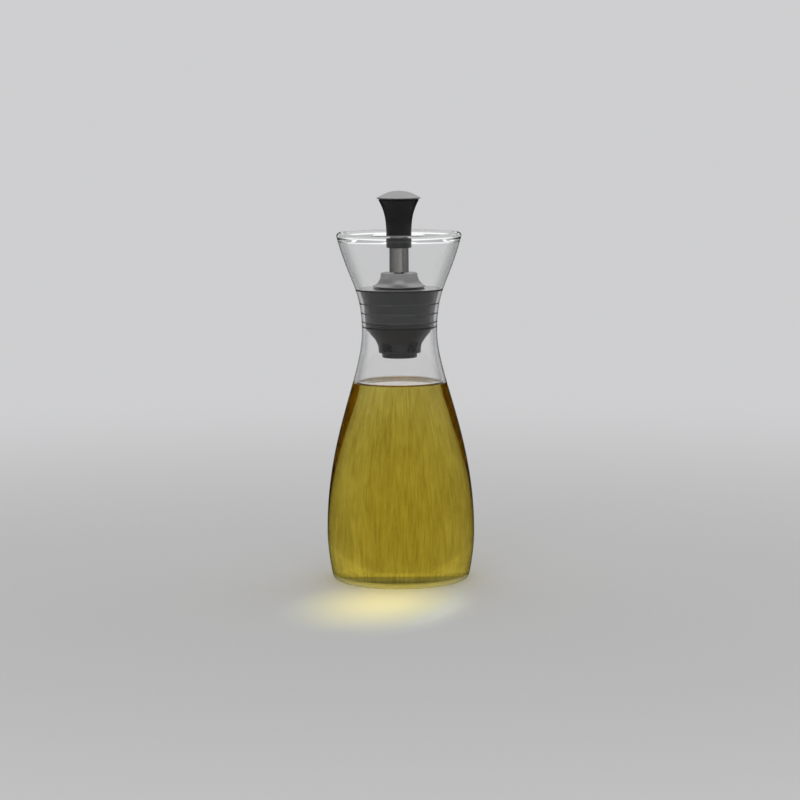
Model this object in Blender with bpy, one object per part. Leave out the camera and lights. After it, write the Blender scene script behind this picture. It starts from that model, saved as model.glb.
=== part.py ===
# A glass oil and vinegar bottle with a self-closing pouring stopper.
# The bottle flares above its neck into a funnel. A silicone bung with a moulded core sits in
# the neck, and a valve on a steel rod rests on the core. When the bottle is tipped, the heavy
# knob draws the valve off its seat. When it stands, the valve falls shut.
# Lengths are in metres. The bottle stands on z = 0 and every piece is turned about the Z axis.

import math

import bmesh
import bpy
from mathutils import Matrix

# Facets in one full turn
BOTTLE_STEPS = 40
VALVE_STEPS = 32
SMALL_STEPS = 24

# Play between two pieces that rest on each other or fit in each other
SEAT_GAP = 0.0003
# How far a cutter runs past what it cuts
OVERRUN = 0.0010

# Glass bottle, outside
BELLY_RADIUS = 0.0380
BELLY_HEIGHT = 0.0250
NECK_RADIUS = 0.0193
NECK_HEIGHT = 0.1280
MOUTH_RADIUS = 0.0320
FUNNEL_HEIGHT = 0.0510
RIM_BEAD_RADIUS = 0.0016
HEEL_RADIUS = 0.0024
BASE_RING_RADIUS = 0.0330
BASE_RING_WIDTH = 0.0035
PUNT_HEIGHT = 0.0012
# Glass bottle, inside
WALL = 0.0017
FLOOR_HEIGHT = 0.0036
FLOOR_CORNER_RADIUS = 0.0070
# How far the ends of each curve keep their direction, as shares of the curve's height
HEEL_HOLD_SHARES = (0.32, 0.335)
SHOULDER_HOLD_SHARES = (0.475, 0.220)
FUNNEL_HOLD_SHARES = (0.465, 0.490)
# Outward step of the funnel's wall at the mouth, as a share of the step up
FUNNEL_FLARE_SHARE = 0.26
# Where the wall meets the rim's bead, in degrees round the bead from straight outwards
BEAD_OUTER_ANGLE = -15.0
BEAD_INNER_ANGLE = 208.0
HEEL_END_ANGLE = -12.0

# Oil
OIL_BELOW_NECK = 0.0270

# Bung of the stopper
BUNG_RISE = 0.0226
BUNG_HEIGHT = 0.0177
BUNG_EDGE_HEIGHT = 0.0012
RIB_DEPTH = 0.0009
RIB_THICKNESS = 0.0007
RIB_HEIGHT_SHARES = (0.57, 0.285)

# Core of the stopper
CORE_BORE_RADIUS = 0.0098
CORE_WALL = 0.0016
CORE_RIM_WIDTH = 0.0016
CORE_RIM_THICKNESS = 0.0014
CORE_FLANGE_THICKNESS = 0.0023
CORE_FLANGE_PLAY = 0.0004
CORE_HORN_HEIGHT = 0.0130
CORE_FOOT_BORE_RADIUS = 0.0088
CORE_FOOT_WALL = 0.0020
CORE_FOOT_BORE_HEIGHT = 0.0100
HORN_HOLD_SHARE = 0.40
WINDOW_COUNT = 5
WINDOW_WIDTH = 0.0058
WINDOW_HEIGHT = 0.0048
WINDOW_SILL = 0.0009
# Turn of the first window from the X axis, in degrees
WINDOW_FIRST_ANGLE = 18.0
SPIDER_ARMS = 3
SPIDER_ARM_THICKNESS = 0.0016
SPIDER_ARM_HEIGHT = 0.0090
GUIDE_WALL = 0.0015
GUIDE_LENGTH = 0.0120

# End cap under the core
END_CAP_LIP = 0.0005
END_CAP_THICKNESS = 0.0022
END_CAP_EDGE = 0.0005
END_CAP_SPIGOT_HEIGHT = 0.0009
END_CAP_SPIGOT_WALL = 0.0014

# Valve
VALVE_TRAVEL = 0.0060
VALVE_LIP_RADIUS = 0.0134
VALVE_LIP_THICKNESS = 0.0005
VALVE_LIP_GAP = 0.0009
VALVE_CAP_HEIGHT = 0.0071
VALVE_COLLAR_RADIUS = 0.00945
VALVE_COLLAR_EDGE = 0.0003
VALVE_CAP_WALL = 0.0011
VALVE_CAP_TOP_WALL = 0.0014
VALVE_HOLD_SHARES = (0.54, 0.15)
SEAL_THICKNESS = 0.0010
SEAL_BOSS_RADIUS = 0.0074
ROD_RADIUS = 0.0025
ROD_CHAMFER = 0.0005
ROD_TAIL = 0.0006
WASHER_RADIUS = 0.0056
WASHER_THICKNESS = 0.0010
NUT_FLATS = 0.0080
NUT_HEIGHT = 0.0032
NUT_OVER_GUIDE = 0.0006

# Knob
STEM_RADIUS = 0.0050
STEM_SHOWN = 0.0127
STEM_SOCKET_DEPTH = 0.0059
GRIP_SOCKET_WALL = 0.00115
GRIP_INSET = 0.0008
GRIP_HEIGHT = 0.0247
GRIP_EDGE = 0.0003
GRIP_STRAIGHT_SHARE = 0.27
GRIP_HOLD_SHARES = (0.48, 0.30)
# Step in at the top of the grip's flare, as a share of the step down
GRIP_FLARE_SHARE = 0.53
INSERT_WALL = 0.0010
INSERT_LENGTH = 0.0080
DOME_RADIUS = 0.0112
DOME_EDGE = 0.0005
DOME_RISE = 0.0034
DOME_HOLD_SHARES = (0.50, 0.30)
# Fall of the dome at its brim, as a share of the step outwards
DOME_BRIM_SHARE = 0.45
DOME_SPIGOT_RADIUS = 0.0030
DOME_SPIGOT_LENGTH = 0.0040

# Heights that follow from the sizes above
RIM_HEIGHT = NECK_HEIGHT + FUNNEL_HEIGHT
OIL_LEVEL = NECK_HEIGHT - OIL_BELOW_NECK
BUNG_TOP = NECK_HEIGHT + BUNG_RISE
BUNG_BOTTOM = BUNG_TOP - BUNG_HEIGHT
CORE_FLANGE_TOP = BUNG_BOTTOM - SEAT_GAP
CORE_FLANGE_BOTTOM = CORE_FLANGE_TOP - CORE_FLANGE_THICKNESS
CORE_BOTTOM = CORE_FLANGE_BOTTOM - CORE_HORN_HEIGHT
VALVE_CAP_BOTTOM = BUNG_TOP + VALVE_LIP_GAP
VALVE_CAP_TOP = VALVE_CAP_BOTTOM + VALVE_CAP_HEIGHT
SEAL_BOTTOM = BUNG_TOP + SEAT_GAP
SEAL_WASHER_BOTTOM = SEAL_BOTTOM - SEAT_GAP - WASHER_THICKNESS
SEAL_NUT_BOTTOM = SEAL_WASHER_BOTTOM - SEAT_GAP - NUT_HEIGHT
GUIDE_TOP = SEAL_NUT_BOTTOM - NUT_OVER_GUIDE
GUIDE_BOTTOM = GUIDE_TOP - GUIDE_LENGTH
STOP_WASHER_BOTTOM = GUIDE_BOTTOM - VALVE_TRAVEL - SEAT_GAP - WASHER_THICKNESS
STOP_NUT_BOTTOM = STOP_WASHER_BOTTOM - SEAT_GAP - NUT_HEIGHT
ROD_BOTTOM = STOP_NUT_BOTTOM - ROD_TAIL
GRIP_BOTTOM = VALVE_CAP_TOP + STEM_SHOWN
GRIP_TOP = GRIP_BOTTOM + GRIP_HEIGHT
SOCKET_TOP = GRIP_BOTTOM + STEM_SOCKET_DEPTH
INSERT_TOP = SOCKET_TOP + INSERT_LENGTH
ROD_TOP = INSERT_TOP - ROD_CHAMFER
DOME_BOTTOM = GRIP_TOP + SEAT_GAP

CORE_TUBE_RADIUS = CORE_BORE_RADIUS + CORE_WALL
CORE_FOOT_RADIUS = CORE_FOOT_BORE_RADIUS + CORE_FOOT_WALL
CORE_RIM_RADIUS = CORE_TUBE_RADIUS + CORE_RIM_WIDTH
ROD_BORE_RADIUS = ROD_RADIUS + SEAT_GAP
GUIDE_RADIUS = ROD_BORE_RADIUS + GUIDE_WALL
INSERT_RADIUS = ROD_BORE_RADIUS + INSERT_WALL
GRIP_RADIUS = STEM_RADIUS + SEAT_GAP + GRIP_SOCKET_WALL
GRIP_TOP_RADIUS = DOME_RADIUS - GRIP_INSET


def curve(start, start_hold, end_hold, end, count):
    """Points (radius, height) of a cubic curve, both ends included."""
    points = []
    for i in range(count):
        t = i / (count - 1)
        s = 1 - t
        weights = (s * s * s, 3 * s * s * t, 3 * s * t * t, t * t * t)
        corners = (start, start_hold, end_hold, end)
        points.append(tuple(sum(w * p[k] for w, p in zip(weights, corners)) for k in (0, 1)))
    return points


def arc(centre, radii, first, last, count):
    """Points (radius, height) of an elliptical arc between two angles in degrees."""
    points = []
    for i in range(count):
        a = math.radians(first + (last - first) * i / (count - 1))
        points.append((centre[0] + radii[0] * math.cos(a), centre[1] + radii[1] * math.sin(a)))
    return points


def offset_left(points, distance):
    """The same line, moved to the left of its own direction."""
    moved = []
    for i, (r, z) in enumerate(points):
        before = points[max(i - 1, 0)]
        after = points[min(i + 1, len(points) - 1)]
        dr, dz = after[0] - before[0], after[1] - before[1]
        length = math.hypot(dr, dz)
        moved.append((r - distance * dz / length, z + distance * dr / length))
    return moved


def radius_at(points, height):
    """Radius of a line of points at a height, read between its points."""
    rising = sorted(points, key=lambda p: p[1])
    for (r0, z0), (r1, z1) in zip(rising, rising[1:]):
        if z0 <= height <= z1 and z1 > z0:
            return r0 + (r1 - r0) * (height - z0) / (z1 - z0)
    return rising[0][0] if height < rising[0][1] else rising[-1][0]


def finish(name, mesh, look):
    """Names the object, gives it its material and shades its round faces smooth."""
    mesh.name = name
    mesh.materials.append(look)
    mesh.shade_smooth()
    mesh.set_sharp_from_angle(angle=math.radians(35))
    piece = bpy.data.objects.new(name, mesh)
    bpy.context.scene.collection.objects.link(piece)
    return piece


def turned(name, outline, steps, look):
    """A solid of revolution. The outline is closed, or starts and ends on the axis."""
    body = bmesh.new()
    corners = [body.verts.new((r, 0, z)) for r, z in outline]
    on_axis = outline[0][0] == 0 and outline[-1][0] == 0
    pairs = list(zip(corners, corners[1:]))
    if not on_axis:
        pairs.append((corners[-1], corners[0]))
    edges = [body.edges.new(pair) for pair in pairs]
    bmesh.ops.spin(
        body,
        geom=corners + edges,
        cent=(0, 0, 0),
        axis=(0, 0, 1),
        angle=math.tau,
        steps=steps,
        use_merge=True,
    )
    bmesh.ops.remove_doubles(body, verts=body.verts[:], dist=SEAT_GAP / 100)
    bmesh.ops.dissolve_degenerate(body, dist=SEAT_GAP / 100, edges=body.edges[:])
    bmesh.ops.recalc_face_normals(body, faces=body.faces[:])
    mesh = bpy.data.meshes.new(name)
    body.to_mesh(mesh)
    body.free()
    return finish(name, mesh, look)


def box(name, size, centre, turn=0.0):
    """A helper block, turned about the Z axis after it is placed."""
    body = bmesh.new()
    bmesh.ops.create_cube(body, size=1.0)
    place = Matrix.Rotation(turn, 4, "Z") @ Matrix.Translation(centre) @ Matrix.Diagonal((*size, 1.0))
    bmesh.ops.transform(body, matrix=place, verts=body.verts[:])
    mesh = bpy.data.meshes.new(name)
    body.to_mesh(mesh)
    body.free()
    helper = bpy.data.objects.new(name, mesh)
    bpy.context.scene.collection.objects.link(helper)
    return as_helper(helper)


def as_helper(helper):
    """Keeps a cutter or a joined shape out of the finished object."""
    helper.hide_render = True
    helper.display_type = "WIRE"
    return helper


def combine(piece, helper, operation):
    """Adds a Boolean with a helper shape."""
    modifier = piece.modifiers.new(helper.name, "BOOLEAN")
    modifier.operation = operation
    modifier.solver = "EXACT"
    modifier.object = helper


def material(name, colour, roughness, metallic=0.0, transmission=0.0):
    look = bpy.data.materials.new(name)
    look.use_nodes = True
    shader = look.node_tree.nodes["Principled BSDF"]
    shader.inputs["Base Color"].default_value = (*colour, 1.0)
    shader.inputs["Roughness"].default_value = roughness
    shader.inputs["Metallic"].default_value = metallic
    shader.inputs["Transmission Weight"].default_value = transmission
    look.diffuse_color = (*colour, 1.0)
    return look


def bottle_outer_wall():
    """The outside of the glass, from the heel up to the rim's bead."""
    heel_centre = (BASE_RING_RADIUS, HEEL_RADIUS)
    heel = arc(heel_centre, (HEEL_RADIUS, HEEL_RADIUS), -90, HEEL_END_ANGLE, 4)
    foot = heel[-1]
    rise = BELLY_HEIGHT - foot[1]
    lean = math.radians(90 + HEEL_END_ANGLE)
    hold = rise * HEEL_HOLD_SHARES[0]
    belly = (BELLY_RADIUS, BELLY_HEIGHT)
    lower = curve(
        foot,
        (foot[0] + hold * math.cos(lean), foot[1] + hold * math.sin(lean)),
        (BELLY_RADIUS, BELLY_HEIGHT - rise * HEEL_HOLD_SHARES[1]),
        belly,
        5,
    )
    rise = NECK_HEIGHT - BELLY_HEIGHT
    neck = (NECK_RADIUS, NECK_HEIGHT)
    shoulder = curve(
        belly,
        (BELLY_RADIUS, BELLY_HEIGHT + rise * SHOULDER_HOLD_SHARES[0]),
        (NECK_RADIUS, NECK_HEIGHT - rise * SHOULDER_HOLD_SHARES[1]),
        neck,
        12,
    )
    mouth = bead_outline()[-1]
    rise = mouth[1] - NECK_HEIGHT
    hold = rise * FUNNEL_HOLD_SHARES[1]
    funnel = curve(
        neck,
        (NECK_RADIUS, NECK_HEIGHT + rise * FUNNEL_HOLD_SHARES[0]),
        (mouth[0] - hold * FUNNEL_FLARE_SHARE, mouth[1] - hold),
        mouth,
        9,
    )
    return heel + lower[1:] + shoulder[1:] + funnel[1:]


def bead_outline():
    """The rounded rim, from its inner side over the top to its outer side."""
    centre = (MOUTH_RADIUS - RIM_BEAD_RADIUS, RIM_HEIGHT - RIM_BEAD_RADIUS)
    radii = (RIM_BEAD_RADIUS, RIM_BEAD_RADIUS)
    return arc(centre, radii, BEAD_INNER_ANGLE, BEAD_OUTER_ANGLE, 8)


def bottle_inner_wall():
    """The inside of the glass above the floor's rounded corner, from bottom to top."""
    corner_top = FLOOR_HEIGHT + FLOOR_CORNER_RADIUS
    bead_bottom = bead_outline()[0][1]
    wall = offset_left(bottle_outer_wall(), WALL)
    start = (radius_at(wall, corner_top), corner_top)
    middle = [p for p in wall if corner_top + WALL < p[1] < bead_bottom - RIM_BEAD_RADIUS / 2]
    return [start] + middle


def free_radius(height):
    """The widest round piece that can rise out of the bottle from this height."""
    wall = bottle_inner_wall()
    above = [r for r, z in wall if z > height]
    return min(above + [radius_at(wall, height)])


def floor_corner(play):
    """The rounded edge of the bottle's floor, from the floor out to the wall."""
    wall_radius = bottle_inner_wall()[0][0]
    centre = (wall_radius - FLOOR_CORNER_RADIUS, FLOOR_HEIGHT + FLOOR_CORNER_RADIUS)
    radius = FLOOR_CORNER_RADIUS - play
    return arc(centre, (radius, radius), -90, 0, 5)


def glass_bottle(look):
    punt_radius = BASE_RING_RADIUS - BASE_RING_WIDTH
    punt = [(punt_radius * s, PUNT_HEIGHT * (1 - s * s)) for s in (1.0, 0.75, 0.4, 0.0)]
    inside = [(0, FLOOR_HEIGHT)] + floor_corner(0)[:-1] + bottle_inner_wall()
    outside = list(reversed(bottle_outer_wall()[:-1]))
    return turned("glass_bottle", inside + bead_outline() + outside + punt, BOTTLE_STEPS, look)


def oil_fill(look):
    wall = bottle_inner_wall()
    shown = [p for p in wall[1:] if p[1] < OIL_LEVEL - WALL]
    side = floor_corner(SEAT_GAP) + [(r - SEAT_GAP, z) for r, z in shown]
    top = (radius_at(wall, OIL_LEVEL) - SEAT_GAP, OIL_LEVEL)
    outline = [(0, FLOOR_HEIGHT + SEAT_GAP)] + side + [top, (0, OIL_LEVEL)]
    return turned("oil_fill", outline, BOTTLE_STEPS, look)


def bung_seal(look):
    """The silicone sleeve, with sealing ribs that meet the glass."""
    edge = BUNG_TOP - BUNG_EDGE_HEIGHT

    def land(height):
        return (free_radius(height) - SEAT_GAP, height)

    def groove(height):
        return (free_radius(height) - SEAT_GAP - RIB_DEPTH, height)

    side = [land(BUNG_TOP), land(edge), groove(edge - RIB_DEPTH)]
    for share in RIB_HEIGHT_SHARES:
        middle = BUNG_BOTTOM + BUNG_HEIGHT * share
        top, bottom = middle + RIB_THICKNESS / 2, middle - RIB_THICKNESS / 2
        side += [groove(top + RIB_DEPTH / 2), land(top), land(bottom), groove(bottom - RIB_DEPTH / 2)]
    side += [groove(BUNG_BOTTOM + RIB_DEPTH + RIB_THICKNESS), land(BUNG_BOTTOM + RIB_THICKNESS)]
    side += [land(BUNG_BOTTOM)]
    bore = CORE_TUBE_RADIUS + SEAT_GAP
    recess = CORE_RIM_RADIUS + SEAT_GAP
    shelf = BUNG_TOP - CORE_RIM_THICKNESS - SEAT_GAP
    inside = [(bore, BUNG_BOTTOM), (bore, shelf), (recess, shelf), (recess, BUNG_TOP)]
    return turned("bung_seal", side + inside, BOTTLE_STEPS, look)


def horn_outline():
    """The flared outside of the core below its flange, from the flange down."""
    top = (free_radius(CORE_FLANGE_TOP) - CORE_FLANGE_PLAY, CORE_FLANGE_BOTTOM)
    foot = (CORE_FOOT_RADIUS, CORE_BOTTOM)
    knee = (CORE_FOOT_RADIUS + SEAT_GAP, CORE_BOTTOM + CORE_HORN_HEIGHT * HORN_HOLD_SHARE)
    return curve(top, knee, knee, foot, 7)


def pour_core(look):
    """The moulding in the bung: a tube, a flared inlet with windows, and a guide on a spider."""
    horn = horn_outline()
    rim_bottom = BUNG_TOP - CORE_RIM_THICKNESS
    outside = [(CORE_RIM_RADIUS, BUNG_TOP), (CORE_RIM_RADIUS, rim_bottom)]
    outside += [(CORE_TUBE_RADIUS, rim_bottom), (CORE_TUBE_RADIUS, CORE_FLANGE_TOP)]
    outside += [(horn[0][0], CORE_FLANGE_TOP)] + horn
    step = CORE_BOTTOM + CORE_FOOT_BORE_HEIGHT
    bore_step = CORE_BORE_RADIUS - CORE_FOOT_BORE_RADIUS
    inside = [(CORE_FOOT_BORE_RADIUS, CORE_BOTTOM), (CORE_FOOT_BORE_RADIUS, step)]
    inside += [(CORE_BORE_RADIUS, step + bore_step), (CORE_BORE_RADIUS, BUNG_TOP)]
    core = turned("pour_core", outside + inside, BOTTLE_STEPS, look)

    guide_section = [(GUIDE_RADIUS, GUIDE_TOP), (GUIDE_RADIUS, GUIDE_BOTTOM)]
    guide_section += [(ROD_BORE_RADIUS, GUIDE_BOTTOM), (ROD_BORE_RADIUS, GUIDE_TOP)]
    guide = as_helper(turned("spider_guide", guide_section, VALVE_STEPS, look))

    # Each arm runs from inside the guide's wall to inside the core's wall.
    arm_start = ROD_BORE_RADIUS + GUIDE_WALL / 2
    arm_end = (CORE_BORE_RADIUS + CORE_TUBE_RADIUS) / 2
    arm_size = (arm_end - arm_start, SPIDER_ARM_THICKNESS, SPIDER_ARM_HEIGHT)
    arm_centre = ((arm_start + arm_end) / 2, 0, (GUIDE_TOP + GUIDE_BOTTOM) / 2)
    for i in range(SPIDER_ARMS):
        arm = box(f"spider_arm_{i + 1}", arm_size, arm_centre, math.tau * (i + 0.25) / SPIDER_ARMS)
        combine(core, arm, "UNION")
    combine(core, guide, "UNION")

    window_middle = CORE_BOTTOM + WINDOW_SILL + WINDOW_HEIGHT / 2
    window_start = CORE_FOOT_BORE_RADIUS - OVERRUN
    window_end = horn[0][0] + OVERRUN
    window_size = (window_end - window_start, WINDOW_WIDTH, WINDOW_HEIGHT)
    window_centre = ((window_start + window_end) / 2, 0, window_middle)
    for i in range(WINDOW_COUNT):
        turn = math.radians(WINDOW_FIRST_ANGLE) + math.tau * i / WINDOW_COUNT
        window = box(f"window_cutter_{i + 1}", window_size, window_centre, turn)
        combine(core, window, "DIFFERENCE")
    return core


def core_end_cap(look):
    """The plug that closes the foot of the core, with a spigot inside the core's bore."""
    top = CORE_BOTTOM - SEAT_GAP
    bottom = top - END_CAP_THICKNESS
    spigot = CORE_FOOT_BORE_RADIUS - SEAT_GAP
    spigot_top = CORE_BOTTOM + END_CAP_SPIGOT_HEIGHT
    inner = spigot - END_CAP_SPIGOT_WALL
    radius = spigot + END_CAP_LIP
    edge = arc((radius - END_CAP_EDGE, bottom + END_CAP_EDGE), (END_CAP_EDGE, END_CAP_EDGE), 0, -90, 3)
    outline = [(0, top), (inner, top), (inner, spigot_top), (spigot, spigot_top), (spigot, top)]
    outline += [(radius, top)] + edge + [(0, bottom)]
    return turned("core_end_cap", outline, VALVE_STEPS, look)


def valve_cap_curve():
    """The hollow flare of the valve cap's outside, from the lip up to the collar."""
    rise = VALVE_CAP_HEIGHT - VALVE_LIP_THICKNESS - VALVE_COLLAR_EDGE
    spread = VALVE_LIP_RADIUS - VALVE_COLLAR_RADIUS
    lip = (VALVE_LIP_RADIUS, VALVE_CAP_BOTTOM + VALVE_LIP_THICKNESS)
    collar = (VALVE_COLLAR_RADIUS, lip[1] + rise)
    lip_hold = (lip[0] - spread * VALVE_HOLD_SHARES[0], lip[1] + rise * VALVE_HOLD_SHARES[1])
    collar_hold = (VALVE_COLLAR_RADIUS, collar[1] - rise * VALVE_HOLD_SHARES[0])
    return curve(lip, lip_hold, collar_hold, collar, 8)


def valve_cap_cavity():
    """The hollow under the valve cap, from its mouth up to its ceiling."""
    ceiling = VALVE_CAP_TOP - VALVE_CAP_TOP_WALL
    line = offset_left(valve_cap_curve(), VALVE_CAP_WALL)
    mouth = (radius_at(line, VALVE_CAP_BOTTOM), VALVE_CAP_BOTTOM)
    middle = [p for p in line if VALVE_CAP_BOTTOM < p[1] < ceiling]
    return [mouth] + middle + [(radius_at(line, ceiling), ceiling)]


def valve_cap(look):
    cavity = valve_cap_cavity()
    ceiling = cavity[-1][1]
    flare = list(reversed(valve_cap_curve()))
    outline = [(VALVE_COLLAR_RADIUS - VALVE_COLLAR_EDGE, VALVE_CAP_TOP)] + flare
    outline += [(VALVE_LIP_RADIUS, VALVE_CAP_BOTTOM)] + cavity
    outline += [(ROD_BORE_RADIUS, ceiling), (ROD_BORE_RADIUS, VALVE_CAP_TOP)]
    return turned("valve_cap", outline, VALVE_STEPS, look)


def valve_seal(look):
    """The silicone plug under the valve cap, which closes the core's bore."""
    cavity = valve_cap_cavity()
    flange_top = SEAL_BOTTOM + SEAL_THICKNESS
    radius = radius_at(cavity, flange_top) - SEAT_GAP
    boss_top = cavity[-1][1] - SEAT_GAP
    outline = [(SEAL_BOSS_RADIUS, boss_top), (SEAL_BOSS_RADIUS, flange_top + SEAL_THICKNESS)]
    outline += [(radius - SEAL_THICKNESS, flange_top), (radius, flange_top), (radius, SEAL_BOTTOM)]
    outline += [(ROD_BORE_RADIUS, SEAL_BOTTOM), (ROD_BORE_RADIUS, boss_top)]
    return turned("valve_seal", outline, VALVE_STEPS, look)


def washer(name, bottom, look):
    top = bottom + WASHER_THICKNESS
    outline = [(WASHER_RADIUS, top), (WASHER_RADIUS, bottom)]
    outline += [(ROD_BORE_RADIUS, bottom), (ROD_BORE_RADIUS, top)]
    return turned(name, outline, SMALL_STEPS, look)


def nut(name, bottom, look):
    """A hexagon nut on the rod."""
    middle = bottom + NUT_HEIGHT / 2
    corner = NUT_FLATS / 2 / math.cos(math.pi / 6)
    body = bmesh.new()
    bmesh.ops.create_cone(
        body,
        cap_ends=True,
        segments=6,
        radius1=corner,
        radius2=corner,
        depth=NUT_HEIGHT,
        matrix=Matrix.Translation((0, 0, middle)),
    )
    mesh = bpy.data.meshes.new(name)
    body.to_mesh(mesh)
    body.free()
    piece = finish(name, mesh, look)
    top, foot = bottom + NUT_HEIGHT + OVERRUN, bottom - OVERRUN
    hole = [(0, top), (ROD_BORE_RADIUS, top), (ROD_BORE_RADIUS, foot), (0, foot)]
    combine(piece, as_helper(turned(f"{name}_hole", hole, SMALL_STEPS, look)), "DIFFERENCE")
    return piece


def guide_rod(look):
    """The rod that joins the knob to the valve and slides in the core's guide."""
    slim = ROD_RADIUS - ROD_CHAMFER
    outline = [(0, ROD_TOP), (slim, ROD_TOP), (ROD_RADIUS, ROD_TOP - ROD_CHAMFER)]
    outline += [(ROD_RADIUS, ROD_BOTTOM + ROD_CHAMFER), (slim, ROD_BOTTOM), (0, ROD_BOTTOM)]
    return turned("guide_rod", outline, SMALL_STEPS, look)


def stem_tube(look):
    top, bottom = SOCKET_TOP - SEAT_GAP, VALVE_CAP_TOP + SEAT_GAP
    outline = [(STEM_RADIUS, top), (STEM_RADIUS, bottom)]
    outline += [(ROD_BORE_RADIUS, bottom), (ROD_BORE_RADIUS, top)]
    return turned("stem_tube", outline, VALVE_STEPS, look)


def knob_grip(look):
    """The moulded grip, which widens towards the dome."""
    straight_top = GRIP_BOTTOM + GRIP_HEIGHT * GRIP_STRAIGHT_SHARE
    flare_top = (GRIP_TOP_RADIUS, GRIP_TOP - GRIP_EDGE)
    rise = flare_top[1] - straight_top
    hold = rise * GRIP_HOLD_SHARES[1]
    flare = curve(
        flare_top,
        (flare_top[0] - hold * GRIP_FLARE_SHARE, flare_top[1] - hold),
        (GRIP_RADIUS, straight_top + rise * GRIP_HOLD_SHARES[0]),
        (GRIP_RADIUS, straight_top),
        9,
    )
    socket = STEM_RADIUS + SEAT_GAP
    pocket = INSERT_RADIUS + SEAT_GAP
    pocket_top = INSERT_TOP + SEAT_GAP
    spigot = DOME_SPIGOT_RADIUS + SEAT_GAP
    spigot_bottom = DOME_BOTTOM - DOME_SPIGOT_LENGTH - SEAT_GAP
    outline = [(0, spigot_bottom), (spigot, spigot_bottom), (spigot, GRIP_TOP)]
    outline += [(GRIP_TOP_RADIUS - GRIP_EDGE, GRIP_TOP)] + flare
    outline += [(GRIP_RADIUS, GRIP_BOTTOM + GRIP_EDGE), (GRIP_RADIUS - GRIP_EDGE, GRIP_BOTTOM)]
    outline += [(socket, GRIP_BOTTOM), (socket, SOCKET_TOP), (pocket, SOCKET_TOP)]
    outline += [(pocket, pocket_top), (0, pocket_top)]
    return turned("knob_grip", outline, VALVE_STEPS, look)


def knob_insert(look):
    """The threaded brass insert that holds the rod in the grip."""
    outline = [(INSERT_RADIUS, INSERT_TOP), (INSERT_RADIUS, SOCKET_TOP)]
    outline += [(ROD_BORE_RADIUS, SOCKET_TOP), (ROD_BORE_RADIUS, INSERT_TOP)]
    return turned("knob_insert", outline, SMALL_STEPS, look)


def knob_cap(look):
    """The steel dome, with a spigot that goes into the grip."""
    edge = DOME_BOTTOM + DOME_EDGE
    top = edge + DOME_RISE
    brim = DOME_RADIUS * DOME_HOLD_SHARES[1]
    dome = curve(
        (0, top),
        (DOME_RADIUS * DOME_HOLD_SHARES[0], top),
        (DOME_RADIUS - brim, edge + brim * DOME_BRIM_SHARE),
        (DOME_RADIUS, edge),
        9,
    )
    spigot_bottom = DOME_BOTTOM - DOME_SPIGOT_LENGTH
    outline = dome + [(DOME_RADIUS, DOME_BOTTOM)]
    outline += [(DOME_SPIGOT_RADIUS, DOME_BOTTOM), (DOME_SPIGOT_RADIUS, spigot_bottom)]
    outline += [(0, spigot_bottom)]
    return turned("knob_cap", outline, VALVE_STEPS, look)


def main():
    for old in list(bpy.data.objects):
        bpy.data.objects.remove(old)

    glass = material("clear_glass", (0.93, 0.96, 0.95), 0.02, transmission=1.0)
    oil = material("olive_oil", (0.62, 0.53, 0.06), 0.05, transmission=0.8)
    silicone = material("charcoal_silicone", (0.075, 0.075, 0.080), 0.65)
    moulding = material("black_moulding", (0.030, 0.030, 0.032), 0.45)
    grip = material("black_grip", (0.022, 0.022, 0.024), 0.50)
    satin = material("satin_steel", (0.62, 0.61, 0.60), 0.30, metallic=1.0)
    bright = material("bright_steel", (0.70, 0.69, 0.67), 0.16, metallic=1.0)
    brass = material("brass", (0.78, 0.57, 0.22), 0.30, metallic=1.0)

    glass_bottle(glass)
    oil_fill(oil)

    bung_seal(silicone)
    pour_core(moulding)
    core_end_cap(moulding)

    # Everything below slides up together when the bottle is tipped.
    valve_cap(satin)
    valve_seal(silicone)
    washer("seal_washer", SEAL_WASHER_BOTTOM, bright)
    nut("seal_nut", SEAL_NUT_BOTTOM, bright)
    guide_rod(bright)
    washer("stop_washer", STOP_WASHER_BOTTOM, bright)
    nut("stop_nut", STOP_NUT_BOTTOM, bright)
    stem_tube(bright)
    knob_grip(grip)
    knob_insert(brass)
    knob_cap(satin)


main()
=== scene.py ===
# %% [markdown]
# # A table bottle for oil or vinegar
#
# The bottle is clear glass that widens above its neck into a funnel. A silicone bung with a
# moulded core sits in the neck, and a valve with a knob rests on it. Nearly everything is round
# about one upright axis, so most of this lesson is about turning outlines on a lathe, and about
# finishes that let glass, oil and steel show what they are.
#
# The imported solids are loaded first. They say where each piece is and which piece moves with
# which, and the detailed pieces below are built around them.

# %% Load the frame
import math

import bmesh
import bpy
from mathutils import Matrix, Vector


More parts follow.
